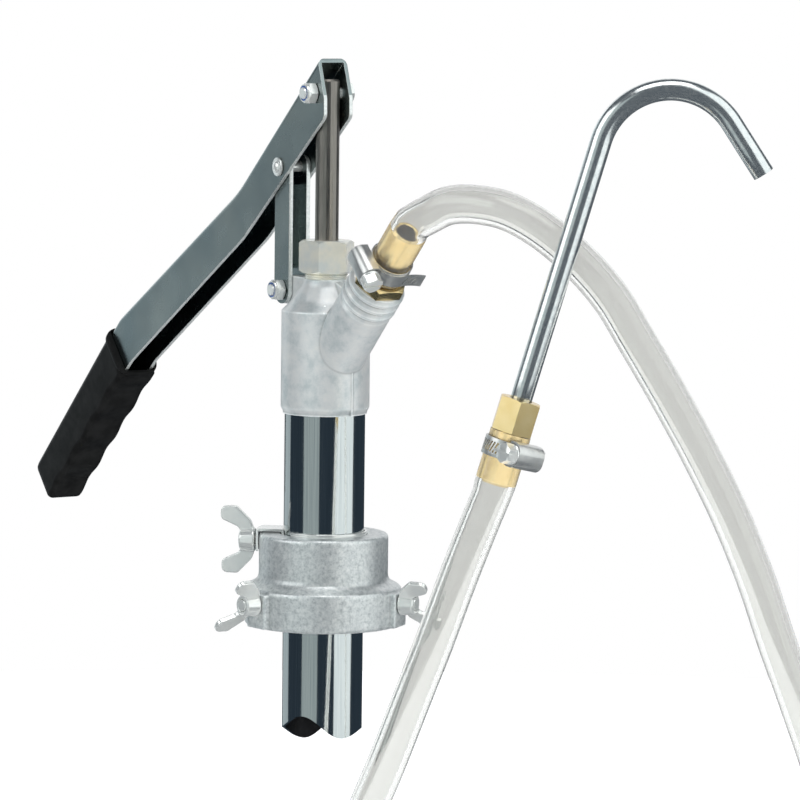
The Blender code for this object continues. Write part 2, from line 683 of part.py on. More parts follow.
def bolt_set(centre, half, prefix, insert, nut_body, bolt_name):
    """A pivot bolt along Y with its head at +Y and a locking nut with a nylon insert at -Y."""
    where = place(centre, (0, 1, 0), (1, 0, 0))
    shank = cylinder(BOLT_R, -half - 6.8, half + 1, where, 14)
    head = hexagon(10, half + GAP, half + 4.3, where, math.radians(30))
    join(head, shank)
    part(head, bolt_name, "fastener_steel", nut_body)
    back = place(centre, (0, -1, 0), (1, 0, 0))
    nut = hexagon(10, half + GAP, half + 4.6, back, math.radians(30))
    dome = [(0, half + 6.0), (4.4, half + 6.0), (4.8, half + 5.4), (4.8, half + 3), (0, half + 3)]
    join(nut, turned(dome, back, 16))
    bore = BOLT_R + GAP
    recess = [
        (0, half + 10), (4.0, half + 10), (4.0, half + 4.4), (bore, half + 4.4), (bore, half - 2), (0, half - 2),
    ]
    cut(nut, turned(recess, back, 16))
    part(nut, prefix, "fastener_steel", nut_body)
    part(ring(BOLT_R + GAP, 3.7, half + 4.7, half + 5.8, back, 16), insert, "nylon_blue", nut_body)


def make_pivots():
    bolt_set(LINK_PIVOT, 6.2, "link_pivot_nut", "link_nut_insert", "pump", "link_pivot_bolt")
    bolt_set(ROD_PIVOT, LEVER_WIDTH / 2, "rod_nut", "rod_nut_insert", "rod", "rod_bolt")
    side = LEVER_WIDTH / 2 + GAP
    half = [
        (0, side + 2.6), (2.2, side + 2.2), (3.2, side + 1.2), (4.75, side + 1.0), (4.75, side),
        (RIVET_R, side),
    ]
    profile = half + [(radius, -height) for radius, height in reversed(half)]
    part(turned(profile, place(FULCRUM, (0, 1, 0)), 16), "fulcrum_rivet", "fastener_steel", "lever")


# ---------------------------------------------------------------- outlet, hose and spout

def barbs(tip, root, count):
    """Barbs from the tip down to the root, as a turned profile's outer side."""
    pitch = (tip - root) / count
    profile = []
    for k in range(count):
        top = tip - pitch * k
        profile += [(BARB_R - 0.9, top), (BARB_R, top - pitch + 0.6)]
    return profile


def make_outlet():
    where = place(BRANCH_ROOT, BRANCH_AXIS, (0, 1, 0))
    root = [(6.2, 78.2), (6.2, 74), (10.3, 74), (10.3, 60), (0, 60)]
    body = turned([(0, TAIL_END)] + barbs(TAIL_END, 78.5, 4) + root, where, 20)
    join(body, hexagon(24, BRANCH_END + GAP, 77.5, where, math.radians(25)))
    cut(body, cylinder(5.2, 55, 115, where, 14))
    part(body, "outlet_tail", "brass", "pump")
    part(ring(BARB_R + GAP, CUFF_R, 77.8, TAIL_END, where, 20), "hose_cuff_outlet", "clear_hose", "pump")


def worm_clamp(prefix, centre, axis, toward, side, body, screw_body):
    """Band about the axis, housing on the toward side, screw through it with its head on the given side."""
    where = place(centre, axis, toward)
    part(ring(CUFF_R + GAP, CUFF_R + 1.1, -CLAMP_BAND_HALF, CLAMP_BAND_HALF, where, 24), prefix + "_band",
         "fastener_steel", body)
    across = where.col[0].xyz
    tangent = where.col[1].xyz * side
    seat = Vector(centre) + across * 14.9
    housing = block((7.0, 15.0, 10.6), place(seat, axis, across))
    line = place(seat, tangent, axis)
    cut(housing, cylinder(2.9, -12, 12, line, 12))
    part(housing, prefix + "_housing", "fastener_steel", body)
    screw = cylinder(2.6, -8.6, 9, line, 12)
    head = turned([(0, 14.2), (4.4, 14.2), (5.1, 13.4), (5.1, 8.2), (0, 8.2)], line, 16)
    join(head, screw)
    cut(head, block((1.4, 12, 3.0), line @ Matrix.Translation((0, 0, 13.6 * MM))))
    part(head, prefix + "_screw", "fastener_steel", screw_body)


def make_hose():
    start = branch(TAIL_END + GAP)
    end = SPOUT_ROOT - SPOUT_AXIS * (SPOUT_BARB + GAP)
    straight = 5.0
    between = [start + BRANCH_AXIS * straight, *HOSE_ROUTE, end - SPOUT_AXIS * straight]
    route = [start, *smooth_route(between, HOSE_SPACING), end]
    part(tube(route, HOSE_R, 2), "hose", "clear_hose", "pump")


def make_spout():
    where = place(SPOUT_ROOT, SPOUT_AXIS, SPOUT_OUT)
    fitting = hexagon(19, 0, SPOUT_HEX, where)
    below = place(SPOUT_ROOT, -SPOUT_AXIS, SPOUT_OUT)
    root = [(6.2, 0.8), (6.2, -4), (0, -4)]
    join(fitting, turned([(0, SPOUT_BARB)] + barbs(SPOUT_BARB, 1, 4) + root, below, 20))
    socket = SPOUT_TUBE_R + 0.35
    cut(fitting, turned([(0, 20), (socket, 20), (socket, 8), (4.2, 8), (4.2, -30), (0, -30)], where, 16))
    part(fitting, "spout_fitting", "brass", "spout")
    part(ring(BARB_R + GAP, CUFF_R, GAP, SPOUT_BARB, below, 20), "hose_cuff_spout", "clear_hose", "spout")

    lean = math.pi / 2 - SPOUT_LEAN
    across, toward, up = SPOUT_BASE
    path = [(8.3, 0.0), (60.0, 0.0), (SPOUT_HEX + SPOUT_STRAIGHT, 0.0)]
    bend_start = SPOUT_HEX + SPOUT_STRAIGHT
    pieces = 11
    for k in range(1, pieces + 1):
        angle = SPOUT_BEND * k / pieces
        path.append((bend_start + SPOUT_BEND_R * math.sin(angle), SPOUT_BEND_R * (1 - math.cos(angle))))
    last = path[-1]
    path.append((last[0] + SPOUT_TIP * math.cos(SPOUT_BEND), last[1] + SPOUT_TIP * math.sin(SPOUT_BEND)))
    points = []
    for along, side in path:
        step_across = along * math.cos(lean) + side * math.sin(lean)
        step_up = along * math.sin(lean) - side * math.cos(lean)
        points.append(spout_point(across + step_across, toward, up + step_up))
    hook = tube(points, SPOUT_TUBE_R, 3, caps=False)
    wall = hook.modifiers.new("wall", "SOLIDIFY")
    wall.thickness = SPOUT_TUBE_WALL * MM
    wall.offset = -1.0
    part(hook, "spout_tube", "fastener_steel", "spout")


def shade_parts():
    """Applies each piece's modifiers and shades its round faces smooth."""
    bpy.context.view_layer.update()
    graph = bpy.context.evaluated_depsgraph_get()
    made = {obj: bpy.data.meshes.new_from_object(obj.evaluated_get(graph)) for obj in PARTS.objects}
    for obj, data in made.items():
        obj.modifiers.clear()
        obj.data = data
        data.shade_smooth()
        data.set_sharp_from_angle(angle=math.radians(35))


# ---------------------------------------------------------------- build

def make_bodies():
    add_body("root", None, (0, 0, 0))
    add_body("pump", "root", (0, 0, 0))
    add_body("foot_ball", "pump", (0, 0, BALL_Z))
    add_body("rod", "pump", (0, 0, 83))
    add_body("piston_valve", "rod", (0, 0, 76))
    add_body("lever", "rod", ROD_PIVOT)
    add_body("link", "pump", LINK_PIVOT)
    for number, angle in enumerate(BUNG_SCREW_ANGLES, 1):
        centre = radial(angle, 46, BUNG_SCREW_Z)
        add_body(f"stud_{number}", "root", centre)
        add_body(f"wing_{number}", f"stud_{number}", centre)
    centre = radial(TUBE_SCREW_ANGLE, 40, TUBE_SCREW_Z)
    add_body("tube_stud", "root", centre)
    add_body("tube_wing", "tube_stud", centre)
    add_body("gland_follower", "pump", (0, 0, 185))
    add_body("gland_nut", "gland_follower", (0, 0, 185))
    add_body("outlet_screw", "pump", branch(OUTLET_CLAMP_S))
    add_body("spout", "pump", SPOUT_ROOT)
    add_body("spout_screw", "spout", SPOUT_CLAMP)


def build():
    make_bodies()
    make_collar()
    make_clip()
    make_screws()
    make_tube()
    make_foot_valve()
    make_piston_set()
    make_head()
    make_gland()
    make_lever()
    make_grip()
    make_link()
    make_pivots()
    make_outlet()
    upright = Vector((-1, 0, 1)).normalized()
    toward = Vector((0, math.cos(OUTLET_CLAMP_TURN), 0)) + upright * math.sin(OUTLET_CLAMP_TURN)
    worm_clamp("outlet_clamp", branch(OUTLET_CLAMP_S), BRANCH_AXIS, toward, 1, "pump", "outlet_screw")
    make_hose()
    make_spout()
    toward = SPOUT_OUT * math.cos(SPOUT_CLAMP_TURN) + SPOUT_AXIS.cross(SPOUT_OUT) * math.sin(SPOUT_CLAMP_TURN)
    worm_clamp("spout_clamp", SPOUT_CLAMP, SPOUT_AXIS, toward, -1, "spout", "spout_screw")
    shade_parts()


build()
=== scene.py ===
"""Looks of the hand drum pump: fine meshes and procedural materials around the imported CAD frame.

Lengths are in millimetres and MM turns them into metres. The frame is the CAD's: the origin is the centre of
the collar's underside, +Z is up, the lever works in the XZ plane and the outlet branch leans towards +X.
"""

import json
import math

import bmesh
import bpy
import numpy as np
from mathutils import Matrix, Vector

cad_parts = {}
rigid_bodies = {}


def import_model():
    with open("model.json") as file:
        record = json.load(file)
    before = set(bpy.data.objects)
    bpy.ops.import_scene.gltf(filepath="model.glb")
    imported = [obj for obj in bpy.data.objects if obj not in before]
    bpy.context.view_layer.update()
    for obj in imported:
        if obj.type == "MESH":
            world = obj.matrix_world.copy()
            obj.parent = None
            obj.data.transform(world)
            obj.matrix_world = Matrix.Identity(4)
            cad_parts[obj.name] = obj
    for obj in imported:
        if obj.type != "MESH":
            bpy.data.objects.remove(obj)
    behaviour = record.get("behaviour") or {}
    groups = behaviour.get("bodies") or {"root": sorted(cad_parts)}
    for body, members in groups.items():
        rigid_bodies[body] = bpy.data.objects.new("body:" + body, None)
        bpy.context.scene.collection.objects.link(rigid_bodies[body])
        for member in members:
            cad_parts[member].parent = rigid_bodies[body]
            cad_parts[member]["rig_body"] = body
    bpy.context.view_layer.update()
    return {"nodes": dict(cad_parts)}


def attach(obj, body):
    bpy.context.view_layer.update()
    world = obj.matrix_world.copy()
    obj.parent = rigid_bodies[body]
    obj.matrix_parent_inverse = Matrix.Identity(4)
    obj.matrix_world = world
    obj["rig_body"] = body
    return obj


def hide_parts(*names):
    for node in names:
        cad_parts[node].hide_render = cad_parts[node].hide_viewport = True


for leftover in list(bpy.data.objects):
    bpy.data.objects.remove(leftover, do_unlink=True)

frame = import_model()

MM = 0.001

# ---------------------------------------------------------------- the CAD's driving sizes
TUBE_R = 20.5
TUBE_WALL = 1.5
TUBE_TOP = 129.7
FOOT_Z = -54.2
FOOT_TURN = math.radians(-32.0)
FOOT_WAVE = 5.6
FOOT_TILT = 3.4
COLLAR_TOP = 46.5
BUNG_SCREW_ANGLES = (-84.0, 36.0, 156.0)
BUNG_WING_TURNS = (40.0, -45.0, 45.0)
BUNG_SCREW_Z = 13.0
TUBE_SCREW_ANGLE = -128.0
TUBE_SCREW_Z = 42.0
TUBE_WING_TURN = 8.0
HEAD_R = 22.6
BRANCH_ROOT = Vector((0.0, 0.0, 127.4))
BRANCH_AXIS = Vector((1.0, 0.0, 1.0)).normalized()
BRANCH_END = 71.3
HOSE_START = 77.9
TAIL_END = 110.0
LINK_PIVOT = Vector((-34.4, 0.0, 168.6))
FULCRUM = Vector((-34.4, 0.0, 231.6))
ROD_PIVOT = Vector((0.0, 0.0, 270.3))
LEVER_WIDTH = 17.0
GRIP_MOUTH = Vector((-206.0, 0.0, 122.9))
GRIP_SLOPE = math.radians(42.5)
GRIP_LENGTH = 120.0
HOSE_R = 9.5
HOSE_BORE_R = 6.5
CUFF_R = 10.0
BARB_R = 7.0
OUTLET_CLAMP_S = 85.2
OUTLET_CLAMP_TURN = math.radians(180)
SPOUT_CLAMP_TURN = math.radians(38)
SPOUT_PLANE = math.radians(58.0)
SPOUT_BASE = (91.44, 130.0, 113.29)
SPOUT_LEAN = math.radians(16.28)
SPOUT_HEX = 16.4
SPOUT_BARB = 26.0
SPOUT_STRAIGHT = 129.2
SPOUT_BEND_R = 34.5
SPOUT_BEND = math.radians(130.4)
SPOUT_TIP = 28.8
SPOUT_TUBE_R = 5.25
SPOUT_TUBE_WALL = 1.2
FLOOR_Z = -450.0
HOSE_ROUTE = (
    (92, 3, 214), (104, 7, 219), (118, 14, 220), (133, 23, 217), (147, 34, 208), (160, 46, 194),
    (171, 57, 177), (179, 66, 158), (189, 81, 128), (197, 95, 99), (202, 109, 70), (205, 122, 40),
    (206, 134, 10), (208, 147, -22), (211, 161, -60), (213, 171, -100), (212, 174, -140),
    (207, 170, -180), (197, 156, -218), (182, 135, -249), (163, 107, -270), (143, 76, -277),
    (123, 43, -270), (107, 14, -250), (96, -11, -220), (91, -30, -184), (92, -41, -146),
    (99, -44, -110), (108, -42, -82), (119, -34, -49), (127, -26, -19), (135, -18, 11),
    (142, -10, 41), (149, -3, 67),
)


def radial(angle, radius, height):
    turn = math.radians(angle)
    return Vector((radius * math.cos(turn), radius * math.sin(turn), height))


def branch(s):
    return BRANCH_ROOT + BRANCH_AXIS * s


def spout_point(across, toward, up):
    along = Vector((math.cos(SPOUT_PLANE), math.sin(SPOUT_PLANE), 0.0))
    outward = Vector((math.sin(SPOUT_PLANE), -math.cos(SPOUT_PLANE), 0.0))
    return along * across + outward * toward + Vector((0.0, 0.0, up))


SPOUT_OUT = spout_point(0.0, 1.0, 0.0)
SPOUT_AXIS = spout_point(math.sin(SPOUT_LEAN), 0.0, math.cos(SPOUT_LEAN))
SPOUT_ROOT = spout_point(*SPOUT_BASE)
SPOUT_CLAMP = SPOUT_ROOT - SPOUT_AXIS * 8.5
GRIP_ALONG = Vector((-math.cos(GRIP_SLOPE), 0.0, -math.sin(GRIP_SLOPE)))
GRIP_UP = Vector((-math.sin(GRIP_SLOPE), 0.0, math.cos(GRIP_SLOPE)))


# ---------------------------------------------------------------- camera

def add_camera():
    data = bpy.data.cameras.new("camera")
    data.lens = 194.58
    data.sensor_width = 36.0
    data.clip_start = 0.05
    data.clip_end = 60.0
    camera = bpy.data.objects.new("camera", data)
    right = Vector((0.52886425, 0.84862421, 0.01181376))
    up = Vector((-0.09198711, 0.04347772, 0.99481056))
    back = right.cross(up)
    pose = Matrix((right, up, back)).transposed().to_4x4()
    pose.translation = Vector((1.87635, -1.12753, 0.33721))
    camera.matrix_world = pose
    bpy.context.scene.collection.objects.link(camera)
    bpy.context.scene.camera = camera
    return back


VIEW_BACK = add_camera()


# ---------------------------------------------------------------- shapes

def place(centre=(0, 0, 0), z=(0, 0, 1), x=None):
    """A frame at centre, with its Z along z and its X as near to x, or to the world's X, as it can be."""
    axis_z = Vector(z).normalized()
    guide = Vector((1, 0, 0) if x is None else x)
    axis_x = (guide - axis_z * guide.dot(axis_z)).normalized()
    axis_y = axis_z.cross(axis_x)
    pose = Matrix((axis_x, axis_y, axis_z)).transposed().to_4x4()
    pose.translation = Vector(centre) * MM
    return pose


def shift(where, distance):
    return where @ Matrix.Translation((0, 0, distance * MM))


SIDE_VIEW = place(z=(0, -1, 0), x=(1, 0, 0))


def helper(name, data, where=None):
    obj = bpy.data.objects.new(name, data)
    obj.matrix_world = where if where is not None else Matrix()
    bpy.context.scene.collection.objects.link(obj)
    return obj


def applied(obj):
    """Applies an object's modifiers and its place, so that its mesh lies in world space."""
    bpy.context.view_layer.update()
    graph = bpy.context.evaluated_depsgraph_get()
    data = bpy.data.meshes.new_from_object(obj.evaluated_get(graph))
    data.transform(obj.matrix_world)
    if obj.matrix_world.determinant() < 0:
        data.flip_normals()
    old = obj.data
    if obj.type == "MESH":
        obj.modifiers.clear()
        obj.data = data
        obj.matrix_world = Matrix()
        bpy.data.meshes.remove(old)
        return obj
    name = obj.name
    bpy.data.objects.remove(obj, do_unlink=True)
    return helper(name, data)


def tidy_mesh(data, distance=0.000002):
    mesh = bmesh.new()
    mesh.from_mesh(data)
    bmesh.ops.remove_doubles(mesh, verts=mesh.verts, dist=distance)
    bmesh.ops.recalc_face_normals(mesh, faces=mesh.faces)
    mesh.to_mesh(data)
    mesh.free()


def rounded(corners, closed=True, step=math.radians(9)):
    """Points of an outline whose (x, y, radius) corners are rounded."""
    count = len(corners)
    points = []
    for i, (x, y, radius) in enumerate(corners):
        corner = Vector((x, y))
        if radius == 0 or (not closed and i in (0, count - 1)):
            points.append(corner)
            continue
        back = (Vector(corners[i - 1][:2]) - corner).normalized()
        ahead = (Vector(corners[(i + 1) % count][:2]) - corner).normalized()
        half = math.acos(max(-1.0, min(1.0, back.dot(ahead)))) / 2
        centre = corner + (back + ahead).normalized() * radius / math.sin(half)
        first = corner + back * radius / math.tan(half) - centre
        turn = math.pi - 2 * half
        side = 1.0 if back.x * ahead.y - back.y * ahead.x < 0 else -1.0
        pieces = max(2, math.ceil(turn / step))
        for k in range(pieces + 1):
            points.append(centre + Matrix.Rotation(side * turn * k / pieces, 2) @ first)
    return points


def turned(profile, where, steps=96):
    """Turns (radius, height) points about Z. A profile that keeps off the axis is a closed ring."""
    data = bpy.data.meshes.new("turned")
    ring_shaped = min(point[0] for point in profile) > 0
    count = len(profile)
    edges = [(i, (i + 1) % count) for i in range(count if ring_shaped else count - 1)]
    data.from_pydata([(point[0] * MM, 0.0, point[1] * MM) for point in profile], edges, [])
    obj = helper("turned", data, where)
    screw = obj.modifiers.new("turn", "SCREW")
    screw.axis = "Z"
    screw.angle = math.tau
    screw.steps = steps
    screw.render_steps = steps
    screw.use_merge_vertices = True
    screw.merge_threshold = 0.00001
    return applied(obj)


def cylinder(radius, low, high, where, steps=48):
    return turned([(0, high), (radius, high), (radius, low), (0, low)], where, steps)


def ring(inner, outer, low, high, where, steps=96, edge=0.25):
    corners = [(outer, high, edge), (outer, low, edge), (inner, low, edge), (inner, high, edge)]
    return turned(rounded(corners, step=math.radians(45)), where, steps)


def block(size, where, bevel=0.0):
    data = bpy.data.meshes.new("block")
    mesh = bmesh.new()
    bmesh.ops.create_cube(mesh, size=1.0)
    bmesh.ops.scale(mesh, vec=Vector(size) * MM, verts=mesh.verts)
    if bevel:
        bmesh.ops.bevel(mesh, geom=mesh.edges[:], offset=bevel * MM, segments=4, affect="EDGES", profile=0.5)
    mesh.to_mesh(data)
    mesh.free()
    return applied(helper("block", data, where))


def plate(points, thickness, where):
    curve = bpy.data.curves.new("plate", "CURVE")
    curve.dimensions = "2D"
    curve.fill_mode = "BOTH"
    curve.extrude = thickness / 2 * MM
    spline = curve.splines.new("POLY")
    spline.points.add(len(points) - 1)
    for target, point in zip(spline.points, points):
        target.co = (point[0] * MM, point[1] * MM, 0.0, 1.0)
    spline.use_cyclic_u = True
    obj = applied(helper("plate", curve, where))
    tidy_mesh(obj.data)
    return obj


def loft(sections, closed_ends=True):
    data = bpy.data.meshes.new("loft")
    mesh = bmesh.new()
    rows = [[mesh.verts.new(Vector(point) * MM) for point in section] for section in sections]
    count = len(rows[0])
    for low, high in zip(rows, rows[1:]):
        for i in range(count):
            j = (i + 1) % count
            mesh.faces.new((low[i], low[j], high[j], high[i]))
    if closed_ends:
        mesh.faces.new(rows[0])
        mesh.faces.new(rows[-1])
    bmesh.ops.recalc_face_normals(mesh, faces=mesh.faces)
    mesh.to_mesh(data)
    mesh.free()
    return helper("loft", data)


def merged(objects):
    """One helper object that holds the faces of several."""
    mesh = bmesh.new()
    for obj in objects:
        mesh.from_mesh(obj.data)
        bpy.data.objects.remove(obj, do_unlink=True)
    data = bpy.data.meshes.new("merged")
    mesh.to_mesh(data)
    mesh.free()
    return helper("merged", data)


def boolean(target, other, operation):
    modifier = target.modifiers.new("boolean", "BOOLEAN")
    modifier.operation = operation
    modifier.solver = "EXACT"
    modifier.object = other
    applied(target)
    bpy.data.objects.remove(other, do_unlink=True)
    return target


def cut(target, *others):
    for other in others:
        boolean(target, other, "DIFFERENCE")
    return target


def join(target, *others):
    for other in others:
        boolean(target, other, "UNION")
    return target


def softened(obj, width=0.25, segments=2, angle=30):
    """Rounds an object's sharp edges a little, as machining and plating do."""
    bevel = obj.modifiers.new("edges", "BEVEL")
    bevel.width = width * MM
    bevel.segments = segments
    bevel.limit_method = "ANGLE"
    bevel.angle_limit = math.radians(angle)
    bevel.use_clamp_overlap = True
    return applied(obj)


def cast(obj, voxel, passes=3):
    """Turns sharp joined shapes into one skin with small fillets, as a casting or forging has."""
    remesh = obj.modifiers.new("skin", "REMESH")
    remesh.mode = "VOXEL"
    remesh.voxel_size = voxel * MM
    smooth = obj.modifiers.new("fillets", "SMOOTH")
    smooth.factor = 0.5
    smooth.iterations = passes
    return applied(obj)


def hexagon(across_flats, low, high, where, chamfer=30, both=False):
    """A hexagonal bar with a corner on its frame's X and turned chamfers."""
    corner = across_flats / math.sqrt(3)
    bar = turned([(0, high), (corner, high), (corner, low), (0, low)], where, 6)
    flat = across_flats / 2 * 0.98
    rise = (corner + 1 - flat) * math.tan(math.radians(chamfer))
    trim = [(0, high + 1), (flat, high + 1), (flat, high), (corner + 1, high - rise)]
    trim += [(corner + 1, low + rise), (flat, low), (flat, low - 1), (0, low - 1)] if both else [
        (corner + 1, low - 1), (0, low - 1)]
    return boolean(bar, turned(trim, where, 144), "INTERSECT")


def smooth_route(points, spacing):
    """Evenly spaced points on one smooth curve through the given points."""
    given = np.array([tuple(point) for point in points], float)
    padded = np.vstack([2 * given[0] - given[1], given, 2 * given[-1] - given[-2]])
    fine = []
    for a, b, c, d in zip(padded, padded[1:], padded[2:], padded[3:]):
        for t in np.linspace(0.0, 1.0, 20, endpoint=False):
            fine.append(0.5 * (2 * b + (c - a) * t + (2 * a - 5 * b + 4 * c - d) * t**2
                               + (3 * b - a - 3 * c + d) * t**3))
    fine = np.array(fine + [given[-1]])
    lengths = np.concatenate([[0.0], np.cumsum(np.linalg.norm(np.diff(fine, axis=0), axis=1))])
    stations = np.linspace(0.0, lengths[-1], round(lengths[-1] / spacing) + 1)
    return [Vector([np.interp(s, lengths, fine[:, k]) for k in range(3)]) for s in stations]


def swept(path, radii, sides=48):
    """A hollow tube along a path: radii gives (outer, inner) at each point, and the ends are annular."""
    across = (path[1] - path[0]).normalized().orthogonal().normalized()
    angles = np.linspace(0, math.tau, sides, endpoint=False)
    outer_rows, inner_rows = [], []
    for i, point in enumerate(path):
        ahead = path[min(i + 1, len(path) - 1)] - path[max(i - 1, 0)]
        ahead.normalize()
        across = (across - ahead * across.dot(ahead)).normalized()
        other = ahead.cross(across)
        outer, inner = radii[i]
        spokes = [across * math.cos(angle) + other * math.sin(angle) for angle in angles]
        outer_rows.append([point + spoke * outer for spoke in spokes])
        inner_rows.append([point + spoke * inner for spoke in spokes])
    rows = outer_rows + inner_rows[::-1] + [outer_rows[0]]
    obj = loft(rows, closed_ends=False)
    tidy_mesh(obj.data, 0.0000005)
    return obj


# ---------------------------------------------------------------- materials

LOOKS = {}


class Look:
    """Builds one procedural material; its shader's plain values stay on its own sockets."""

    def __init__(self, name, colour, roughness, metallic=0.0, **sockets):
        self.material = bpy.data.materials.new(name)
        self.material.use_nodes = True
        self.tree = self.material.node_tree
        self.shader = self.tree.nodes["Principled BSDF"]
        self.set("Base Color", (*colour, 1.0))
        self.set("Roughness", roughness)
        self.set("Metallic", metallic)
        for socket, value in sockets.items():
            self.set(socket.replace("_", " "), value)
        self.coordinates = self.tree.nodes.new("ShaderNodeTexCoord").outputs["Object"]
        self.bump_chain = None
        LOOKS[name] = self.material

    def set(self, socket, value):
        self.shader.inputs[socket].default_value = value

    def link(self, output, target):
        self.tree.links.new(output, target)

    def mapped(self, scale):
        mapping = self.tree.nodes.new("ShaderNodeMapping")
        mapping.inputs["Scale"].default_value = scale
        self.link(self.coordinates, mapping.inputs["Vector"])
        return mapping.outputs["Vector"]

    def noise(self, size, detail=3.0, roughness=0.55, stretch=(1, 1, 1)):
        """Noise whose features are about size millimetres, drawn out along an axis by stretch."""
        node = self.tree.nodes.new("ShaderNodeTexNoise")
        node.inputs["Scale"].default_value = 1.0
        node.inputs["Detail"].default_value = detail
        node.inputs["Roughness"].default_value = roughness
        self.link(self.mapped(tuple(1000.0 / size / s for s in stretch)), node.inputs["Vector"])
        return node.outputs["Fac"]

    def ranged(self, value, low, high, start=0.3, end=0.7):
        node = self.tree.nodes.new("ShaderNodeMapRange")
        node.inputs["From Min"].default_value = start
        node.inputs["From Max"].default_value = end
        node.inputs["To Min"].default_value = low
        node.inputs["To Max"].default_value = high
        self.link(value, node.inputs["Value"])
        return node.outputs["Result"]

    def colours(self, value, *stops):
        """Base colour from a ramp of (position, colour) stops."""
        node = self.tree.nodes.new("ShaderNodeValToRGB")
        ramp = node.color_ramp
        for _ in stops[2:]:
            ramp.elements.new(0.5)
        for element, (position, colour) in zip(ramp.elements, stops):
            element.position = position
            element.color = (*colour, 1.0)
        self.link(value, node.inputs["Fac"])
        self.link(node.outputs["Color"], self.shader.inputs["Base Color"])
        return self

    def painted_hollow_shade_edge_highlight(self, hollow, edge):
        """Paints shade into hollows and a highlight onto sharp edges, read from the mesh's pointiness."""
        geometry = self.tree.nodes.new("ShaderNodeNewGeometry")
        shade = self.ranged(geometry.outputs["Pointiness"], hollow, edge, 0.44, 0.56)
        mix = self.tree.nodes.new("ShaderNodeMix")
        mix.data_type = "RGBA"
        mix.blend_type = "MULTIPLY"
        mix.inputs["Factor"].default_value = 1.0
        source = self.shader.inputs["Base Color"].links[0].from_socket
        self.link(source, mix.inputs["A"])
        self.link(shade, mix.inputs["B"])
        self.link(mix.outputs["Result"], self.shader.inputs["Base Color"])
        return self

    def rough(self, value, low, high, start=0.3, end=0.7):
        self.link(self.ranged(value, low, high, start, end), self.shader.inputs["Roughness"])
        return self

    def bump(self, value, height, strength=1.0):
        """Adds relief of the given height in millimetres."""
        node = self.tree.nodes.new("ShaderNodeBump")
        node.inputs["Strength"].default_value = strength
        node.inputs["Distance"].default_value = height * MM
        self.link(value, node.inputs["Height"])
        if self.bump_chain is not None:
            self.link(self.bump_chain, node.inputs["Normal"])
        self.bump_chain = node.outputs["Normal"]
        self.link(self.bump_chain, self.shader.inputs["Normal"])
        return self


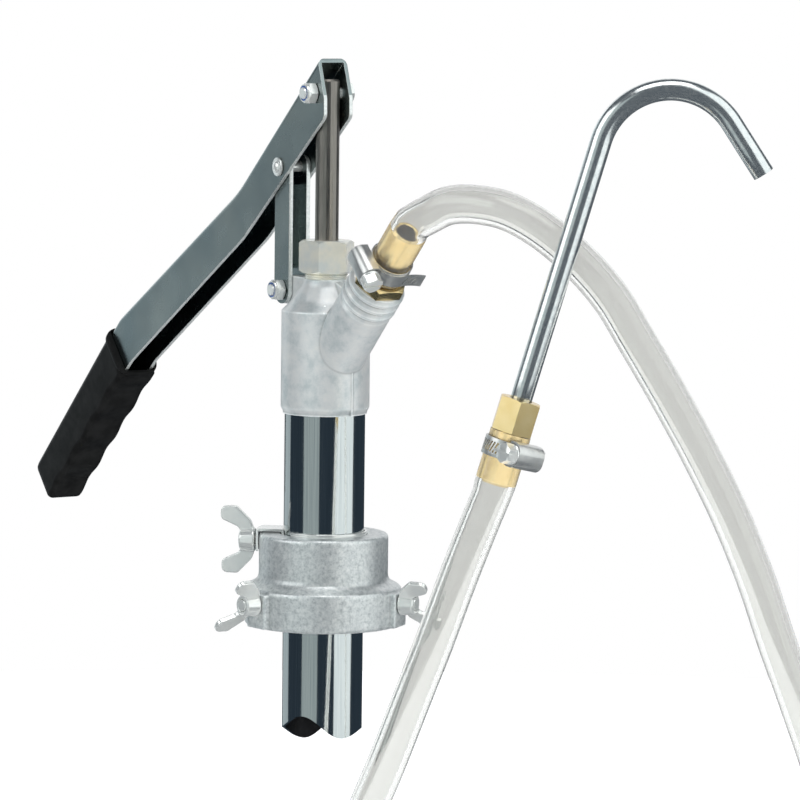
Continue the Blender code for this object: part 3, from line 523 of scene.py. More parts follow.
def make_looks():
    cast_metal = Look("cast_zinc", (0.86, 0.89, 0.89), 0.36, 0.38)
    # Random mottling for the casting; the pointiness step then paints shade into hollows and highlights onto
    # edges.
    cast_metal.colours(cast_metal.noise(9, 6, 0.66), (0.32, (0.66, 0.72, 0.73)), (0.52, (0.88, 0.90, 0.90)),
                       (0.70, (0.97, 0.97, 0.95))).painted_hollow_shade_edge_highlight(0.30, 1.3)
    cast_metal.rough(cast_metal.noise(4, 3), 0.30, 0.42)
    cast_metal.bump(cast_metal.noise(0.6, 3), 0.03, 0.4).bump(cast_metal.noise(3.5, 2), 0.06, 0.3)

    pored = Look("pored_casting", (0.72, 0.74, 0.74), 0.36, 0.62)
    # Random pore speckle; the pointiness step then paints shade into hollows and highlights onto edges.
    pored.colours(pored.noise(2.2, 6, 0.8), (0.34, (0.46, 0.49, 0.50)), (0.50, (0.72, 0.75, 0.75)),
                  (0.68, (0.94, 0.95, 0.94))).painted_hollow_shade_edge_highlight(0.65, 1.3)
    pored.rough(pored.noise(3, 3), 0.30, 0.44)
    pored.bump(pored.noise(0.8, 4, 0.7), 0.12, 0.7).bump(pored.noise(5, 3), 0.16, 0.3)

    tube = Look("tube_steel", (0.62, 0.66, 0.66), 0.08, 1.0)
    lines = tube.noise(0.6, 3, stretch=(1, 1, 90))
    tube.colours(lines, (0.25, (0.50, 0.54, 0.55)), (0.75, (0.70, 0.73, 0.72)))
    tube.rough(lines, 0.06, 0.14)
    tube.bump(tube.noise(0.5, 2, stretch=(1, 1, 60)), 0.006, 0.35)

    channel = Look("channel_steel", (0.36, 0.41, 0.41), 0.27, 1.0)
    channel.colours(channel.noise(45, 2), (0.30, (0.29, 0.35, 0.36)), (0.70, (0.42, 0.46, 0.44)))
    channel.rough(channel.noise(20, 3), 0.23, 0.32)
    channel.bump(channel.noise(0.5, 2), 0.004, 0.3)

    edge = Look("cut_edge", (0.86, 0.88, 0.86), 0.32, 0.6)
    edge.colours(edge.noise(1.2, 3), (0.30, (0.72, 0.76, 0.74)), (0.70, (0.93, 0.94, 0.92)))
    edge.bump(edge.noise(0.4, 2), 0.01, 0.4)

    plated = Look("fastener_steel", (0.95, 0.96, 0.93), 0.20, 0.60)
    plated.colours(plated.noise(5, 2), (0.30, (0.92, 0.94, 0.92)), (0.70, (0.99, 0.99, 0.96)))

    pipe = Look("spout_zinc", (0.82, 0.84, 0.84), 0.20, 0.92)
    pipe.colours(pipe.noise(2.6, 3), (0.32, (0.74, 0.78, 0.79)), (0.68, (0.90, 0.92, 0.91)))
    pipe.rough(pipe.noise(1.8, 3), 0.16, 0.24)

    clamp = Look("clamp_steel", (0.74, 0.74, 0.73), 0.32, 0.85)
    clamp.colours(clamp.noise(4, 2), (0.30, (0.68, 0.68, 0.67)), (0.70, (0.80, 0.80, 0.78)))
    clamp.rough(clamp.noise(2, 3), 0.28, 0.38)

    rod = Look("rod_steel", (0.33, 0.31, 0.28), 0.42, 1.0)
    drawn = rod.noise(0.4, 3, stretch=(1, 1, 30))
    rod.colours(drawn, (0.25, (0.24, 0.22, 0.20)), (0.75, (0.44, 0.41, 0.37)))
    rod.rough(drawn, 0.34, 0.50)
    rod.bump(rod.noise(0.25, 2, stretch=(6, 6, 1)), 0.006, 0.35)

    nut = Look("gland_plate", (0.92, 0.90, 0.80), 0.24, 0.50)
    nut.colours(nut.noise(7, 4), (0.34, (0.80, 0.83, 0.81)), (0.66, (0.99, 0.95, 0.82)))

    brass = Look("brass", (0.84, 0.65, 0.32), 0.24, 0.96)
    brass.colours(brass.noise(9.0, 2), (0.30, (0.82, 0.62, 0.29)), (0.70, (0.89, 0.71, 0.38)))

    grip = Look("grip_rubber", (0.010, 0.010, 0.010), 0.40, 0.0, Specular_IOR_Level=0.06)
    grip.colours(grip.noise(8, 3), (0.35, (0.008, 0.008, 0.008)), (0.65, (0.014, 0.014, 0.014)))
    grip.rough(grip.noise(3, 3), 0.33, 0.45)
    grip.bump(grip.noise(0.5, 2), 0.008, 0.3)

    # A near-black finish for the tube's bore: painted shade where the inner wall falls in shadow.
    inside = Look("tube_inside_painted_shade", (0.015, 0.015, 0.017), 0.55, 0.6)
    inside.rough(inside.noise(4, 3), 0.45, 0.65)

    seal = Look("seal_rubber", (0.03, 0.03, 0.03), 0.6)
    seal.rough(seal.noise(1.5, 3), 0.5, 0.7)
    seal.bump(seal.noise(0.6, 2), 0.02, 0.4)

    braid = Look("packing", (0.25, 0.22, 0.17), 0.8)
    braid.colours(braid.noise(1.0, 3), (0.35, (0.18, 0.16, 0.12)), (0.65, (0.34, 0.30, 0.24)))
    braid.bump(braid.noise(0.8, 2), 0.08, 0.6)

    nylon = Look("nylon_blue", (0.05, 0.13, 0.42), 0.38)
    nylon.colours(nylon.noise(1.0, 2), (0.35, (0.035, 0.09, 0.32)), (0.65, (0.07, 0.17, 0.50)))

    hose = Look("clear_hose", (0.835, 0.835, 0.815), 0.05, 0.0, Transmission_Weight=0.93, IOR=1.44)
    hose.rough(hose.noise(12, 2), 0.03, 0.09)
    hose.bump(hose.noise(5, 2, stretch=(1, 1, 4)), 0.02, 0.25)


make_looks()


def flatten_planes(data):
    """Shades wide flat faces flat, so that the rounding of their edges doesn't spread over them."""
    for face in data.polygons:
        points = [data.vertices[i].co for i in face.vertices]
        around = sum((a - b).length for a, b in zip(points, points[1:] + points[:1]))
        if face.area > 15 * MM * MM and face.area > 1.5 * MM * around:
            face.use_smooth = False


def piece(obj, name, look, node, body=None, smooth=35):
    """Names a finished mesh, shades and paints it, and lets it stand for a CAD node."""
    if obj.data.users > 1:
        obj.data = obj.data.copy()
    obj.name = name
    obj.data.name = name
    if not obj.data.materials:
        obj.data.materials.append(LOOKS[look])
    obj.data.shade_smooth()
    if smooth:
        obj.data.set_sharp_from_angle(angle=math.radians(smooth))
    flatten_planes(obj.data)
    if node:
        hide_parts(node)
    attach(obj, body or frame["nodes"][node]["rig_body"])
    return obj


# ---------------------------------------------------------------- hose

def make_hose():
    """One hollow tube from hex to hex: its ends are stretched over the barbs."""
    start = branch(HOSE_START)
    outlet_end = branch(TAIL_END + 0.3)
    spout_end = SPOUT_ROOT - SPOUT_AXIS * (SPOUT_BARB + 0.3)
    finish = SPOUT_ROOT - SPOUT_AXIS * 0.4
    lead = 5.0
    between = [outlet_end + BRANCH_AXIS * lead, *HOSE_ROUTE, spout_end - SPOUT_AXIS * lead]
    middle = smooth_route(between, 4.0)
    first = [start + (outlet_end - start) * k / 14 for k in range(14)]
    last = [spout_end + (finish - spout_end) * k / 12 for k in range(1, 13)]
    path = first + [outlet_end] + middle + [spout_end] + last
    lengths = [0.0]
    for a, b in zip(path, path[1:]):
        lengths.append(lengths[-1] + (b - a).length)
    total = lengths[-1]
    snug = BARB_R - 0.08
    radii = []
    for s in lengths:
        stretch = 0.0
        for distance, cover in ((s, TAIL_END - HOSE_START), (total - s, SPOUT_BARB)):
            stretch = max(stretch, min(1.0, max(0.0, (cover + 7.0 - distance) / 9.0)))
        ease = stretch * stretch * (3 - 2 * stretch)
        radii.append((HOSE_R + (CUFF_R - HOSE_R) * ease, HOSE_BORE_R + (snug - HOSE_BORE_R) * ease))
    hose = swept(path, radii, 64)
    piece(hose, "clear_hose", "clear_hose", "hose", smooth=60)
    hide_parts("hose_cuff_outlet", "hose_cuff_spout")


make_hose()


# ---------------------------------------------------------------- collar and its screws

def radial_frame(angle, height, x=(0, 0, 1)):
    """Z points outward from the pump's axis."""
    return place((0, 0, height), radial(angle, 1, 0), x)


def threaded(radius, low, high, where, pitch=1.0, depth=0.35, steps=40):
    """A screw thread drawn as close ridges."""
    profile = [(0, high), (radius - depth, high)]
    count = int((high - low - 0.4) / pitch)
    for k in range(count):
        top = high - 0.3 - pitch * k
        profile += [(radius, top - pitch * 0.35), (radius, top - pitch * 0.5)]
        profile.append((radius - depth, top - pitch * 0.9))
    return turned(profile + [(radius - depth, low), (0, low)], where, steps)


def make_collar():
    profile = [
        (22.4, COLLAR_TOP), (31.4, COLLAR_TOP), (32.4, 46.1), (33.0, 45.0), (33.0, 25.2), (33.6, 23.2),
        (35.2, 21.7), (38.2, 20.2), (39.5, 19.3), (40.0, 17.9), (40.0, 1.2), (39.7, 0.4), (39.0, 0.0),
        (31.5, 0.0), (31.5, 19.0), (28.0, 19.0), (28.0, 36.0), (22.4, 36.0),
    ]
    collar = turned(profile, place(), 200)
    for angle in BUNG_SCREW_ANGLES:
        where = place(radial(angle, 38.8, 9.4), radial(angle, 1, 0), (0, 0, 1))
        join(collar, block((17.6, 15.0, 8.0), where))
        cut(collar, cylinder(3.3, 28, 46, radial_frame(angle, BUNG_SCREW_Z), 40))
    cut(collar, cylinder(2.8, 18, 36, radial_frame(TUBE_SCREW_ANGLE, TUBE_SCREW_Z), 40))
    piece(cast(collar, 0.55, 5), "clamp_collar_casting", "pored_casting", "clamp_collar", smooth=60)


def make_clip():
    inner, outer, top, thick = TUBE_R + 0.3, 33.5, COLLAR_TOP + 2.1, 1.2
    corners = [
        (outer + thick, top, 1.6), (outer + thick, 37.0, 0.2), (outer, 37.0, 0.2), (outer, top - thick, 0.4),
        (inner + thick, top - thick, 0.4), (inner + thick, 38.0, 0.2), (inner, 38.0, 0.2), (inner, top, 1.6),
    ]
    clip = turned(rounded(corners, step=math.radians(30)), place(), 180)
    across = place(radial(TUBE_SCREW_ANGLE, 28, TUBE_SCREW_Z), radial(TUBE_SCREW_ANGLE, 1, 0), (0, 0, 1))
    boolean(clip, block((40, 15.0, 24), across), "INTERSECT")
    cut(clip, cylinder(2.8, 28, 40, radial_frame(TUBE_SCREW_ANGLE, TUBE_SCREW_Z), 40))
    piece(softened(clip, 0.2, 2, 50), "clamp_clip_sheet", "fastener_steel", "clamp_clip")
    section = rounded([(22.1, 48.0, 0.4), (22.1, 38.6, 0.2), (21.0, 38.6, 0.2), (21.0, 48.0, 0.4)])
    liner = turned(section, place(), 160)
    keep = place(radial(TUBE_SCREW_ANGLE + 180, 9.0, 44), radial(TUBE_SCREW_ANGLE, 1, 0), (0, 0, 1))
    boolean(liner, block((30, 60, 48.0), keep), "INTERSECT")
    piece(liner, "collar_liner", "fastener_steel", None, "root")


def wing_nut(name, where, stud_r):
    hub = turned([(0, 8), (4.6, 8), (5.2, 7.5), (6.2, 0.5), (5.9, 0), (0, 0)], where, 72)
    side = [
        (6.0, 0.4, 0), (10.2, 1.9, 4), (17.8, 9.2, 2.6), (17.5, 17.4, 3.0), (10.9, 17.4, 2.8), (6.8, 8.6, 3),
    ]
    mirrored = [(-x, y, radius) for x, y, radius in reversed(side)]
    outline = rounded(side + [(4.0, 7.0, 0), (-4.0, 7.0, 0)] + mirrored)
    join(hub, plate(outline, 2.6, where @ SIDE_VIEW))
    cut(hub, cylinder(stud_r + 0.3, -1, 20, where, 48))
    piece(cast(hub, 0.34, 5), name + "_forging", "fastener_steel", name, smooth=60)


def wing_direction(angle, turn):
    """The way a wing points, square to its screw: turn degrees from upright."""
    upright = Vector((0, 0, 1))
    tangent = upright.cross(radial(angle, 1, 0))
    return upright * math.cos(math.radians(turn)) + tangent * math.sin(math.radians(turn))


def make_screws():
    for number, (angle, turn) in enumerate(zip(BUNG_SCREW_ANGLES, BUNG_WING_TURNS), 1):
        where = radial_frame(angle, BUNG_SCREW_Z, wing_direction(angle, turn))
        stud = f"bung_stud_{number}"
        piece(threaded(3.0, 29.5, 51.5, where), stud + "_thread", "fastener_steel", stud)
        wing_nut(f"bung_wing_nut_{number}", shift(where, 43.2), 3.0)
    where = radial_frame(TUBE_SCREW_ANGLE, TUBE_SCREW_Z, wing_direction(TUBE_SCREW_ANGLE, TUBE_WING_TURN))
    thread = threaded(2.5, TUBE_R + 1.8, 43.7, where, 0.8, 0.3)
    piece(thread, "tube_stud_thread", "fastener_steel", "tube_stud")
    wing_nut("tube_wing_nut", shift(where, 35.3), 2.5)


# ---------------------------------------------------------------- tube and head

def foot_height(turn):
    """The tube's foot is cut in a wave round the pump."""
    bend = math.sin(math.pi * math.sin(turn))
    return FOOT_Z - math.copysign(FOOT_WAVE * bend, bend * math.cos(turn)) + FOOT_TILT * math.cos(turn)


def make_tube():
    """The wall is lofted round its section; a level of None stands for the wavy foot."""
    sides = 240
    turns = [math.tau * k / sides for k in range(sides)]
    bore = TUBE_R - TUBE_WALL
    shape = [
        (TUBE_R, None), (TUBE_R, -40.0), (TUBE_R, 0.0), (TUBE_R, 60.0), (TUBE_R, TUBE_TOP),
        (bore, TUBE_TOP), (bore, 0.0), (bore, -40.0), (bore, None),
    ]
    rows = []
    for radius, height in shape:
        level = [foot_height(turn - FOOT_TURN) if height is None else height for turn in turns]
        rows.append([Vector((radius * math.cos(t), radius * math.sin(t), z)) for t, z in zip(turns, level)])
    obj = loft(rows + [rows[0]], closed_ends=False)
    tidy_mesh(obj.data)
    obj.data.materials.append(LOOKS["tube_steel"])
    obj.data.materials.append(LOOKS["tube_inside_painted_shade"])
    # Faces of the bore take the near-black finish that paints the shade inside the tube.
    for face in obj.data.polygons:
        face.material_index = int(face.center.xy.length < (TUBE_R - 0.8 * TUBE_WALL) * MM)
    piece(obj, "pump_tube_wall", "tube_steel", "pump_tube")


def make_head():
    profile = [(0, 186.0), (10.0, 186.0), (10.0, 176.6)]
    profile += rounded([
        (11.3, 176.3, 0), (12.6, 173.0, 8), (17.5, 165.3, 9), (HEAD_R, 160.3, 0.7), (HEAD_R, 111.2, 2),
        (21.4, 109.0, 1), (21.4, 107.8, 0),
    ], closed=False)
    head = turned([tuple(point) for point in profile] + [(0, 107.8)], place(), 200)
    along = place(BRANCH_ROOT, BRANCH_AXIS)
    body = [(0, BRANCH_END), (13.0, BRANCH_END)]
    for k in range(3):
        top = BRANCH_END - 5.0 * k
        body += [(12.7, top - 0.1), (14.8, top - 1.6), (14.8, top - 3.2), (12.7, top - 4.5)]
    body += [(13.3, 56.0), (14.0, 54.6), (14.2, 52.0), (14.2, 12), (0, 12)]
    join(head, turned(body, along, 160))
    reach = LINK_PIVOT.x
    lug = rounded([(-10, 176.0, 0), (reach - 7.4, 176.0, 7.3), (reach - 7.4, 161.2, 7.3), (-10, 161.2, 0)])
    join(head, plate(lug, 7.4, SIDE_VIEW))
    rib = rounded([(8, 176.4, 0), (21, 172.0, 2), (34, 160, 0), (8, 160, 0)])
    join(head, plate(rib, 3.0, SIDE_VIEW))
    seam = radial(6, 22.4, 128)
    join(head, block((1.0, 0.7, 40), place(seam, (0, 0, 1), radial(6, 1, 0))))
    inside = [
        (0, 190), (8.9, 190), (8.9, 171.7), (6.3, 171.7), (6.3, 163), (9, 163), (16.5, 158), (16.5, 133.2),
        (20.85, 133.2), (20.85, 105), (0, 105),
    ]
    cut(head, turned(inside, place(), 160))
    cut(head, turned([(0, 76), (10.6, 76), (10.6, 59.3), (9.0, 59.3), (9.0, 18), (0, 18)], along, 96))
    cut(head, cylinder(3.3, -10, 10, place(LINK_PIVOT, (0, 1, 0)), 48))
    piece(cast(head, 0.36, 2), "pump_head_casting", "cast_zinc", "pump_head", smooth=60)
    ridges = []
    for k in range(4):
        ridges += [(11.0, 179.5 - k), (10.5, 179.0 - k)]
    collar = turned(ridges + [(10.0, 176.0), (10.0, 179.6)], place(), 128)
    piece(collar, "neck_thread", "gland_plate", None, "pump")


def make_gland():
    where = place(x=radial(-47, 1, 0))
    nut = hexagon(25, 179.4, 196, where, 30, both=True)
    cut(nut, cylinder(11.2, 178, 192, where, 96))
    cut(nut, cylinder(6.3, 185, 198, where, 96))
    piece(softened(nut, 0.35, 3), "gland_nut_hex", "gland_plate", "gland_nut")


# ---------------------------------------------------------------- lever, link and pivots

def grip_point(along, up):
    point = GRIP_MOUTH + GRIP_ALONG * along + GRIP_UP * up
    return (point.x, point.z)


def pressed(obj, half_width, margin=2.2):
    """Paints the sheared edges of a pressed sheet: the narrow faces at its two side walls."""
    obj.data.materials.append(LOOKS["channel_steel"])
    obj.data.materials.append(LOOKS["cut_edge"])
    for face in obj.data.polygons:
        at_wall = abs(face.center.y) > (half_width - margin) * MM
        face.material_index = int(at_wall and abs(face.normal.y) < 0.45)
    return obj


def flat_sides(obj):
    """Keeps the large flat sides of a pressed sheet flat where they meet their rounded edges."""
    for face in obj.data.polygons:
        if abs(face.normal.y) > 0.9995:
            face.use_smooth = False


def make_lever():
    tail = 75.0
    spine = [(3.3, 287.8, 0), (-77.9, 216.8, 90), (-206.3, 140.9, 25), (*grip_point(2.5, 13.5), 0)]
    belly = [
        (*grip_point(2.5, -12.5), 0), (-192.6, 118.2, 25), (-71.6, 192.4, 70), (10.2, 258.4, 5),
        (10.0, 268.4, 8),
    ]
    tongue = [(*grip_point(2.5, 11.3), 0), (*grip_point(tail, 11.3), 0), (*grip_point(tail, -11.3), 0),
              (*grip_point(2.5, -11.3), 0)]
    lever = plate(rounded(spine + tongue + belly, step=math.radians(2)), LEVER_WIDTH, SIDE_VIEW)
    round_spine(lever.data, rounded(spine, closed=False, step=math.radians(2)))
    inner = [
        (20.0, 299.7, 0), (-79.0, 213.5, 92), (-205.0, 138.9, 23), (*grip_point(2.0, 11.5), 0),
        (*grip_point(2.0, 9.3), 0), (*grip_point(tail + 5, 9.3), 0), (*grip_point(tail + 5, -30), 0),
        (40, 200, 0), (40, 299.7, 0),
    ]
    cut(lever, plate(rounded(inner, step=math.radians(2)), LEVER_WIDTH - 4.0, SIDE_VIEW))
    cut(lever, cylinder(3.3, -12, 12, place(ROD_PIVOT, (0, 1, 0)), 48))
    cut(lever, cylinder(3.05, -12, 12, place(FULCRUM, (0, 1, 0)), 48))
    softened(lever, 0.22, 2, 40)
    pressed(lever, LEVER_WIDTH / 2)
    flat_sides(piece(lever, "lever_channel", "channel_steel", "lever"))


def round_spine(data, spine):
    """Rounds the two folds where the channel's sides meet its spine."""
    mesh = bmesh.new()
    mesh.from_mesh(data)
    on_spine = np.array([(point[0], point[1]) for point in spine]) * MM
    folds = []
    for edge in mesh.edges:
        ends = np.array([(vert.co.x, vert.co.z) for vert in edge.verts])
        reach = np.linalg.norm(ends[:, None] - on_spine[None], axis=2).min(axis=1)
        along_side = abs(edge.verts[0].co.y - edge.verts[1].co.y) < MM
        flats = {abs(face.normal.y) > 0.5 for face in edge.link_faces}
        if reach.max() < 0.02 * MM and along_side and len(flats) == 2:
            folds.append(edge)
    bmesh.ops.bevel(mesh, geom=folds, offset=3.5 * MM, segments=8, affect="EDGES", profile=0.5)
    mesh.to_mesh(data)
    mesh.free()


def grip_section(along, half_width, top, bottom, top_r, bottom_r):
    corners = [(half_width, bottom, bottom_r), (half_width, top, top_r), (-half_width, top, top_r),
               (-half_width, bottom, bottom_r)]
    points = rounded(corners, step=math.radians(7.5))
    return [GRIP_MOUTH + GRIP_ALONG * along + Vector((0, 1, 0)) * y + GRIP_UP * m for y, m in points]


def make_grip():
    flange = [
        (0.0, 0.85), (0.12, 0.45), (0.4, 0.15), (0.8, 0.0), (2.5, 0.0), (2.9, 0.15), (3.2, 0.5), (3.3, 1.0),
    ]
    sections = [grip_section(a, 12.5 - d, 16.0 - d, d - 16.0, 9.0 - d, 9.0 - d) for a, d in flange]
    stations = 90
    for k in range(1, stations):
        along = 3.4 + (GRIP_LENGTH - 5.6) * k / stations
        shrink = 1.0 - 0.08 * along / GRIP_LENGTH
        wave = 1.5 * (0.5 - 0.5 * math.cos(math.tau * (along - 8.0) / 27.0)) if along > 8.0 else 0.0
        sections.append(grip_section(along, 11.5 * shrink, 13.3 * shrink, -14.7 * shrink + wave, 6.0 * shrink,
                                     3.2 * shrink))
    for along, shrink in ((118.6, 0.905), (119.4, 0.875), (119.8, 0.84), (120.0, 0.79)):
        sections.append(grip_section(along, 11.5 * shrink, 13.3 * shrink, -14.7 * shrink, 6.0 * shrink,
                                     3.2 * shrink))
    grip = loft(sections)
    pocket = place(GRIP_MOUTH + GRIP_ALONG * 36.0, GRIP_ALONG, GRIP_UP)
    cut(grip, block((23.2, 17.6, 80.0), pocket))
    cut(grip, block((27.6, 17.6, 6.0), place(GRIP_MOUTH, GRIP_ALONG, GRIP_UP)))
    piece(grip, "lever_grip_sleeve", "grip_rubber", "lever_grip", smooth=50)


def make_link():
    half = 7.2
    x, low, high = LINK_PIVOT.x, LINK_PIVOT.z - half, FULCRUM.z + 6.0
    sides = rounded([(x - half, low, 7.1), (x + half, low, 7.1), (x + half, high, 5), (x - half, high, 5)])
    link = plate(sides, 12.4, SIDE_VIEW)
    middle = (low + high) / 2
    cut(link, block((30, 8.0, 120), place((x - half + 17.2, 0, middle))))
    cut(link, block((30, 8.0, 17.8), place((x, 0, 170.1))), block((30, 8.0, 24), place((x, 0, 234))))
    slot = block((14, 20, 8.85), place((x - 7.0, 0, FULCRUM.z - 0.98)))
    cut(link, slot, cylinder(3.1, -10, 10, place(FULCRUM, (0, 1, 0)), 48))
    cut(link, cylinder(3.3, -10, 10, place(LINK_PIVOT, (0, 1, 0)), 48))
    softened(link, 0.3, 3, 40)
    pressed(link, 6.2, 2.3)
    flat_sides(piece(link, "link_channel", "channel_steel", "link"))


def bolt_set(centre, half, nut_name, insert_name, bolt_name):
    """A hex bolt with its head at +Y, and a locking nut with a nylon insert at -Y."""
    front = place(centre, (0, 1, 0), (1, 0, 0))
    head = hexagon(10, half + 0.3, half + 4.3, front)
    join(head, cylinder(3.0, -half - 4.0, half + 1, front, 48))
    join(head, threaded(3.0, half + 3.0, half + 6.8, place(centre, (0, -1, 0), (1, 0, 0)), 0.9, 0.3))
    piece(softened(head, 0.2, 2), bolt_name + "_hex", "fastener_steel", bolt_name)
    back = place(centre, (0, -1, 0), (1, 0, 0))
    nut = hexagon(10, half + 0.3, half + 4.6, back, 30, both=True)
    dome = [
        (0, half + 6.0), (4.0, half + 6.0), (4.5, half + 5.8), (4.8, half + 5.2), (4.85, half + 3),
        (0, half + 3),
    ]
    join(nut, turned(dome, back, 72))
    bore = [
        (0, half + 10), (3.9, half + 10), (3.9, half + 4.4), (3.3, half + 4.4), (3.3, half - 2),
        (0, half - 2),
    ]
    cut(nut, turned(bore, back, 72))
    piece(softened(nut, 0.2, 2), nut_name + "_hex", "fastener_steel", nut_name)
    insert = ring(3.1, 3.85, half + 4.5, half + 5.8, back, 64, 0.2)
    piece(insert, insert_name + "_ring", "nylon_blue", insert_name)


def make_pivots():
    bolt_set(LINK_PIVOT, 6.2, "link_pivot_nut", "link_nut_insert", "link_pivot_bolt")
    bolt_set(ROD_PIVOT, LEVER_WIDTH / 2, "rod_nut", "rod_nut_insert", "rod_bolt")
    side = LEVER_WIDTH / 2 + 0.3
    half = [(0, side + 2.5), (1.2, side + 2.35), (2.1, side + 2.0), (2.9, side + 1.3), (3.1, side + 0.95),
            (4.3, side + 0.95), (4.7, side + 0.7), (4.75, side), (2.75, side)]
    profile = half + [(radius, -height) for radius, height in reversed(half)]
    rivet = turned(profile, place(FULCRUM, (0, 1, 0)), 96)
    piece(rivet, "fulcrum_rivet_head", "fastener_steel", "fulcrum_rivet")


# ---------------------------------------------------------------- outlet, clamps and spout

def nipple(tip, root, bore):
    """A plain hose nipple's outline, from its chamfered mouth down to its root."""
    return [
        (bore, tip - 0.6), (bore + 0.5, tip), (BARB_R - 0.7, tip), (BARB_R - 0.15, tip - 0.7),
        (BARB_R, tip - 1.6), (BARB_R, root),
    ]


def make_outlet():
    where = place(BRANCH_ROOT, BRANCH_AXIS, (0, 1, 0))
    body = turned([(0, 100), (0, TAIL_END - 0.6)] + nipple(TAIL_END, 78.2, 5.2)
                  + [(6.4, 78.0), (6.4, 74), (10.3, 74), (10.3, 60), (0, 60)], where, 128)
    join(body, softened(hexagon(24, BRANCH_END + 0.3, 77.5, where, 25), 0.3))
    cut(body, cylinder(5.2, 55, 115, where, 96))
    piece(body, "outlet_tail_brass", "brass", "outlet_tail")


def strip(path, thickness, width, where):
    """A bent strip of band: a line of (x, y) points given a thickness, and a width along Z."""
    line = [Vector(point) for point in path]
    outer, inner = [], []
    for i, point in enumerate(line):
        ahead = (line[min(i + 1, len(line) - 1)] - line[max(i - 1, 0)]).normalized()
        normal = Vector((ahead.y, -ahead.x))
        outer.append(point + normal * thickness / 2)
        inner.append(point - normal * thickness / 2)
    return plate(outer + inner[::-1], width, where)


def worm_clamp(prefix, centre, axis, toward, side, tail_turn):
    """A slotted band about the axis, its rolled housing on the toward side, and the screw through it."""
    where = place(centre, axis, toward)
    band = ring(CUFF_R + 0.3, CUFF_R + 1.1, -4.5, 4.5, where, 160, 0.15)
    slots = []
    for k in range(34):
        angle = math.radians(32 + 296 / 33 * k)
        outward = Vector((math.cos(angle), math.sin(angle), 0))
        lean = Vector((-math.sin(angle) * 0.35, math.cos(angle) * 0.35, 1.0))
        slots.append(block((1.4, 0.85, 5.6), where @ place(outward * (CUFF_R + 0.9), lean, outward)))
    start, turn = math.radians(30), side * math.radians(tail_turn)
    tail_r = CUFF_R + 1.55
    path = []
    for k in range(25):
        angle = start + turn * k / 24
        path.append((tail_r * math.cos(angle), side * tail_r * math.sin(angle)))
    last = Vector(path[-1])
    ahead = (last - Vector(path[-2])).normalized()
    away = last.normalized()
    for k in range(1, 11):
        path.append(last + ahead * 1.2 * k + away * 0.025 * k * k)
    tail_slots = []
    for k in (1.5, 3.5, 5.5, 7.5):
        spot = last + ahead * 1.2 * k
        lean = (*(ahead * 0.35), 1.0)
        tail_slots.append(block((3.4, 0.85, 5.2), where @ place((spot.x, spot.y, 0), lean, (*away, 0))))
    tail = strip(path, 0.7, 7.6, where)
    cut(band, merged(slots))
    cut(tail, merged(tail_slots))
    piece(merged([band, tail]), prefix + "_band_strip", "clamp_steel", prefix + "_band", smooth=30)

    across = where.col[0].xyz
    tangent = where.col[1].xyz * side
    seat = Vector(centre) + across * 14.9
    run = place(seat, tangent, across)
    shell = [(-3.6, -6.2, 0.8), (4.9, -6.2, 4.9), (4.9, 6.2, 4.9), (-3.6, 6.2, 0.8)]
    hollow = [(-2.9, -5.3, 0.5), (4.0, -5.3, 4.1), (4.0, 5.3, 4.1), (-2.9, 5.3, 0.5)]
    housing = plate(rounded(shell, step=math.radians(5)), 16.0, run)
    cut(housing, plate(rounded(hollow, step=math.radians(5)), 18.0, run))
    line = place(seat, tangent, axis)
    cut(housing, cylinder(3.6, 2.2, 12, line, 64))
    piece(softened(housing, 0.25, 3, 50), prefix + "_housing_shell", "clamp_steel", prefix + "_housing")
    worm = threaded(2.6, -8.6, 8.4, line, 1.7, 0.6)
    head = hexagon(8.8, 8.2, 14.2, line, 28)
    join(head, turned([(0, 9.2), (4.7, 9.2), (5.1, 8.8), (5.1, 8.2), (0, 8.2)], line, 72))
    cut(head, block((1.3, 12, 3.2), shift(line, 13.6)))
    screw = merged([softened(head, 0.25, 2), worm])
    piece(screw, prefix + "_screw_head", "fastener_steel", prefix + "_screw")


def make_spout():
    where = place(SPOUT_ROOT, SPOUT_AXIS, SPOUT_OUT)
    fitting = softened(hexagon(19, 0, SPOUT_HEX, where, 28), 0.3)
    below = place(SPOUT_ROOT, -SPOUT_AXIS, SPOUT_OUT)
    barb = [(0, SPOUT_BARB - 0.6)] + nipple(SPOUT_BARB, 0.6, 4.2) + [(6.6, 0.5), (6.6, -4), (0, -4)]
    join(fitting, turned(barb, below, 128))
    cut(fitting, turned([(0, 20), (5.6, 20), (5.6, 8), (4.2, 8), (4.2, -30), (0, -30)], where, 96))
    piece(fitting, "spout_fitting_brass", "brass", "spout_fitting")

    lean = math.pi / 2 - SPOUT_LEAN
    across, toward, up = SPOUT_BASE
    bend_start = SPOUT_HEX + SPOUT_STRAIGHT
    path = [(8.3 + (bend_start - 8.3) * k / 8, 0.0) for k in range(9)]
    pieces = 48
    for k in range(1, pieces + 1):
        angle = SPOUT_BEND * k / pieces
        path.append((bend_start + SPOUT_BEND_R * math.sin(angle), SPOUT_BEND_R * (1 - math.cos(angle))))
    bend_end = path[-1]
    for k in (0.5, 1.0):
        reach = SPOUT_TIP * k
        path.append((bend_end[0] + reach * math.cos(SPOUT_BEND), bend_end[1] + reach * math.sin(SPOUT_BEND)))
    points = []
    for along, aside in path:
        step_across = along * math.cos(lean) + aside * math.sin(lean)
        step_up = along * math.sin(lean) - aside * math.cos(lean)
        points.append(spout_point(across + step_across, toward, up + step_up))
    pipe = swept(points, [(SPOUT_TUBE_R, SPOUT_TUBE_R - SPOUT_TUBE_WALL)] * len(points), 72)
    piece(softened(pipe, 0.15, 2, 50), "spout_tube_pipe", "spout_zinc", "spout_tube")


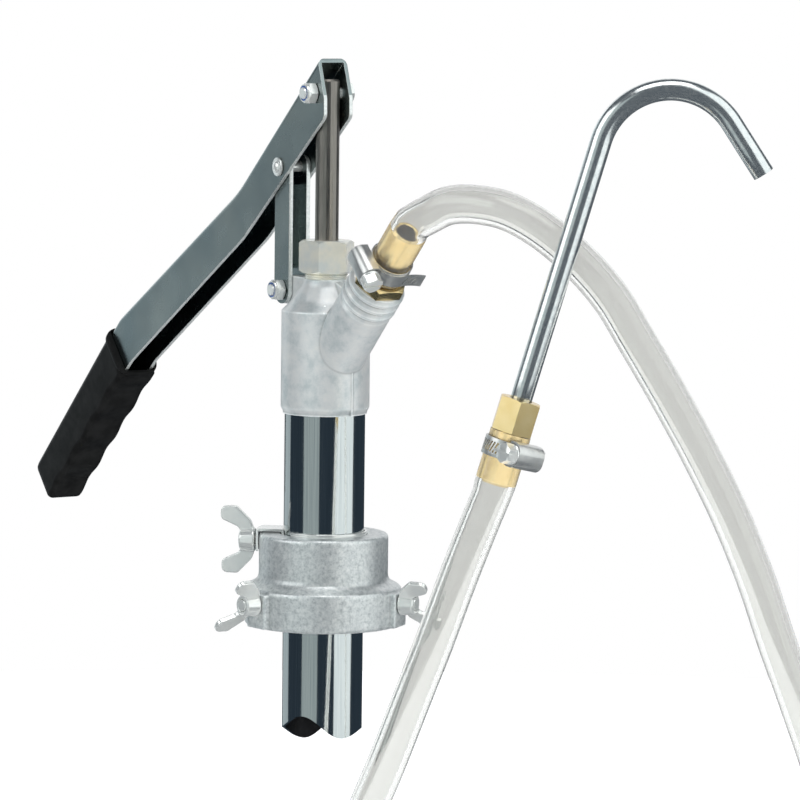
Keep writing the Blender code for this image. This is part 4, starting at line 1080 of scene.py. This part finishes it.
def finish_plain_nodes():
    """The inner parts keep their CAD shape and take the detailed finishes."""
    finishes = {
        "tube_seal": "seal_rubber", "foot_valve_seat": "brass", "foot_valve_cage": "brass",
        "foot_valve_ball": "fastener_steel", "piston_rod": "rod_steel", "piston": "brass",
        "piston_seal": "seal_rubber", "piston_nut": "fastener_steel", "piston_valve_disc": "seal_rubber",
        "valve_stop_washer": "fastener_steel", "gland_follower": "brass", "gland_packing": "packing",
    }
    for name, look in finishes.items():
        for holder in frame["nodes"][name].material_slots:
            holder.material = LOOKS[look]


# ---------------------------------------------------------------- stage and light

def heading(angle):
    """A level direction, counted from the camera's own towards the image's right."""
    front = Vector((VIEW_BACK.x, VIEW_BACK.y, 0.0)).normalized()
    aside = Vector((-front.y, front.x, 0.0))
    turn = math.radians(angle)
    return front * math.cos(turn) + aside * math.sin(turn)


def add_panel(name, angle, distance, height, width, tall, radiance, colour, glossy=True):
    """A rectangular light that faces the pump. Lengths here are in metres."""
    target = Vector((0.03, 0.02, 0.08))
    data = bpy.data.lights.new(name, "AREA")
    data.shape = "RECTANGLE"
    data.size = width
    data.size_y = tall
    data.energy = radiance * math.pi * width * tall
    data.color = colour
    light = bpy.data.objects.new(name, data)
    light.location = target + heading(angle) * distance + Vector((0, 0, height))
    light.rotation_euler = (light.location - target).to_track_quat("Z", "Y").to_euler()
    light.visible_glossy = glossy
    light.visible_camera = False
    bpy.context.scene.collection.objects.link(light)
    return light


def make_stage():
    """A round pale floor under the pump. The metal doesn't mirror it."""
    data = bpy.data.meshes.new("floor")
    mesh = bmesh.new()
    bmesh.ops.create_circle(mesh, cap_ends=True, segments=96, radius=2.6)
    mesh.to_mesh(data)
    mesh.free()
    look = bpy.data.materials.new("studio_white")
    look.use_nodes = True
    shader = look.node_tree.nodes["Principled BSDF"]
    shader.inputs["Base Color"].default_value = (0.95, 0.95, 0.95, 1.0)
    shader.inputs["Roughness"].default_value = 0.9
    shader.inputs["Specular IOR Level"].default_value = 0.0
    shader.inputs["Emission Color"].default_value = (1.0, 1.0, 1.0, 1.0)
    shader.inputs["Emission Strength"].default_value = 0.85
    data.materials.append(look)
    floor = helper("floor", data, Matrix.Translation((0.05, 0.03, FLOOR_Z * MM)))
    floor.visible_glossy = False


def make_light():
    """Soft panels in a dim room; seen directly or through the hose, the room is as pale as the floor."""
    world = bpy.data.worlds.new("studio")
    world.use_nodes = True
    nodes, links = world.node_tree.nodes, world.node_tree.links
    path = nodes.new("ShaderNodeLightPath")
    seen = nodes.new("ShaderNodeMath")
    seen.operation = "MAXIMUM"
    links.new(path.outputs["Is Camera Ray"], seen.inputs[0])
    through = nodes.new("ShaderNodeMath")
    through.operation = "MULTIPLY"
    through.inputs[1].default_value = 0.80
    links.new(path.outputs["Is Transmission Ray"], through.inputs[0])
    links.new(through.outputs["Value"], seen.inputs[1])
    mix = nodes.new("ShaderNodeMix")
    mix.data_type = "RGBA"
    mix.inputs["A"].default_value = (0.030, 0.044, 0.060, 1.0)
    mix.inputs["B"].default_value = (1.0, 1.0, 1.0, 1.0)
    links.new(seen.outputs["Value"], mix.inputs["Factor"])
    links.new(mix.outputs["Result"], nodes["Background"].inputs["Color"])
    bpy.context.scene.world = world
    back = add_panel("back_panel", 180, 2.3, 0.95, 3.4, 2.5, 0.85, (1.0, 1.0, 1.0))
    back.visible_transmission = False
    add_panel("key_softbox", 62, 1.7, 0.62, 2.25, 2.7, 1.1, (0.96, 1.0, 0.99))
    add_panel("fill_softbox", -38, 1.7, 0.15, 1.5, 2.4, 0.42, (0.90, 1.0, 0.97))
    add_panel("upper_left", -66, 1.6, 0.85, 1.3, 1.2, 1.5, (0.98, 1.0, 1.0))
    add_panel("side_panel", -135, 1.5, 0.0, 1.15, 2.0, 0.50, (0.88, 0.98, 1.0))
    add_panel("top_softbox", 10, 0.5, 1.5, 1.1, 0.9, 2.4, (1.0, 1.0, 1.0))
    add_panel("soft_front", 5, 1.9, 0.4, 1.6, 1.6, 1.1, (0.98, 1.0, 0.99), glossy=False)
    bpy.context.scene.view_settings.view_transform = "Standard"


make_collar()
make_clip()
make_screws()
make_tube()
make_head()
make_gland()
make_lever()
make_grip()
make_link()
make_pivots()
make_outlet()
upright = Vector((-1, 0, 1)).normalized()
outlet_toward = Vector((0, math.cos(OUTLET_CLAMP_TURN), 0)) + upright * math.sin(OUTLET_CLAMP_TURN)
worm_clamp("outlet_clamp", branch(OUTLET_CLAMP_S), BRANCH_AXIS, outlet_toward, 1, 72)
make_spout()
spout_toward = (SPOUT_OUT * math.cos(SPOUT_CLAMP_TURN)
                + SPOUT_AXIS.cross(SPOUT_OUT) * math.sin(SPOUT_CLAMP_TURN))
worm_clamp("spout_clamp", SPOUT_CLAMP, SPOUT_AXIS, spout_toward, -1, 40)
finish_plain_nodes()
make_stage()
make_light()

bpy.context.view_layer.update()
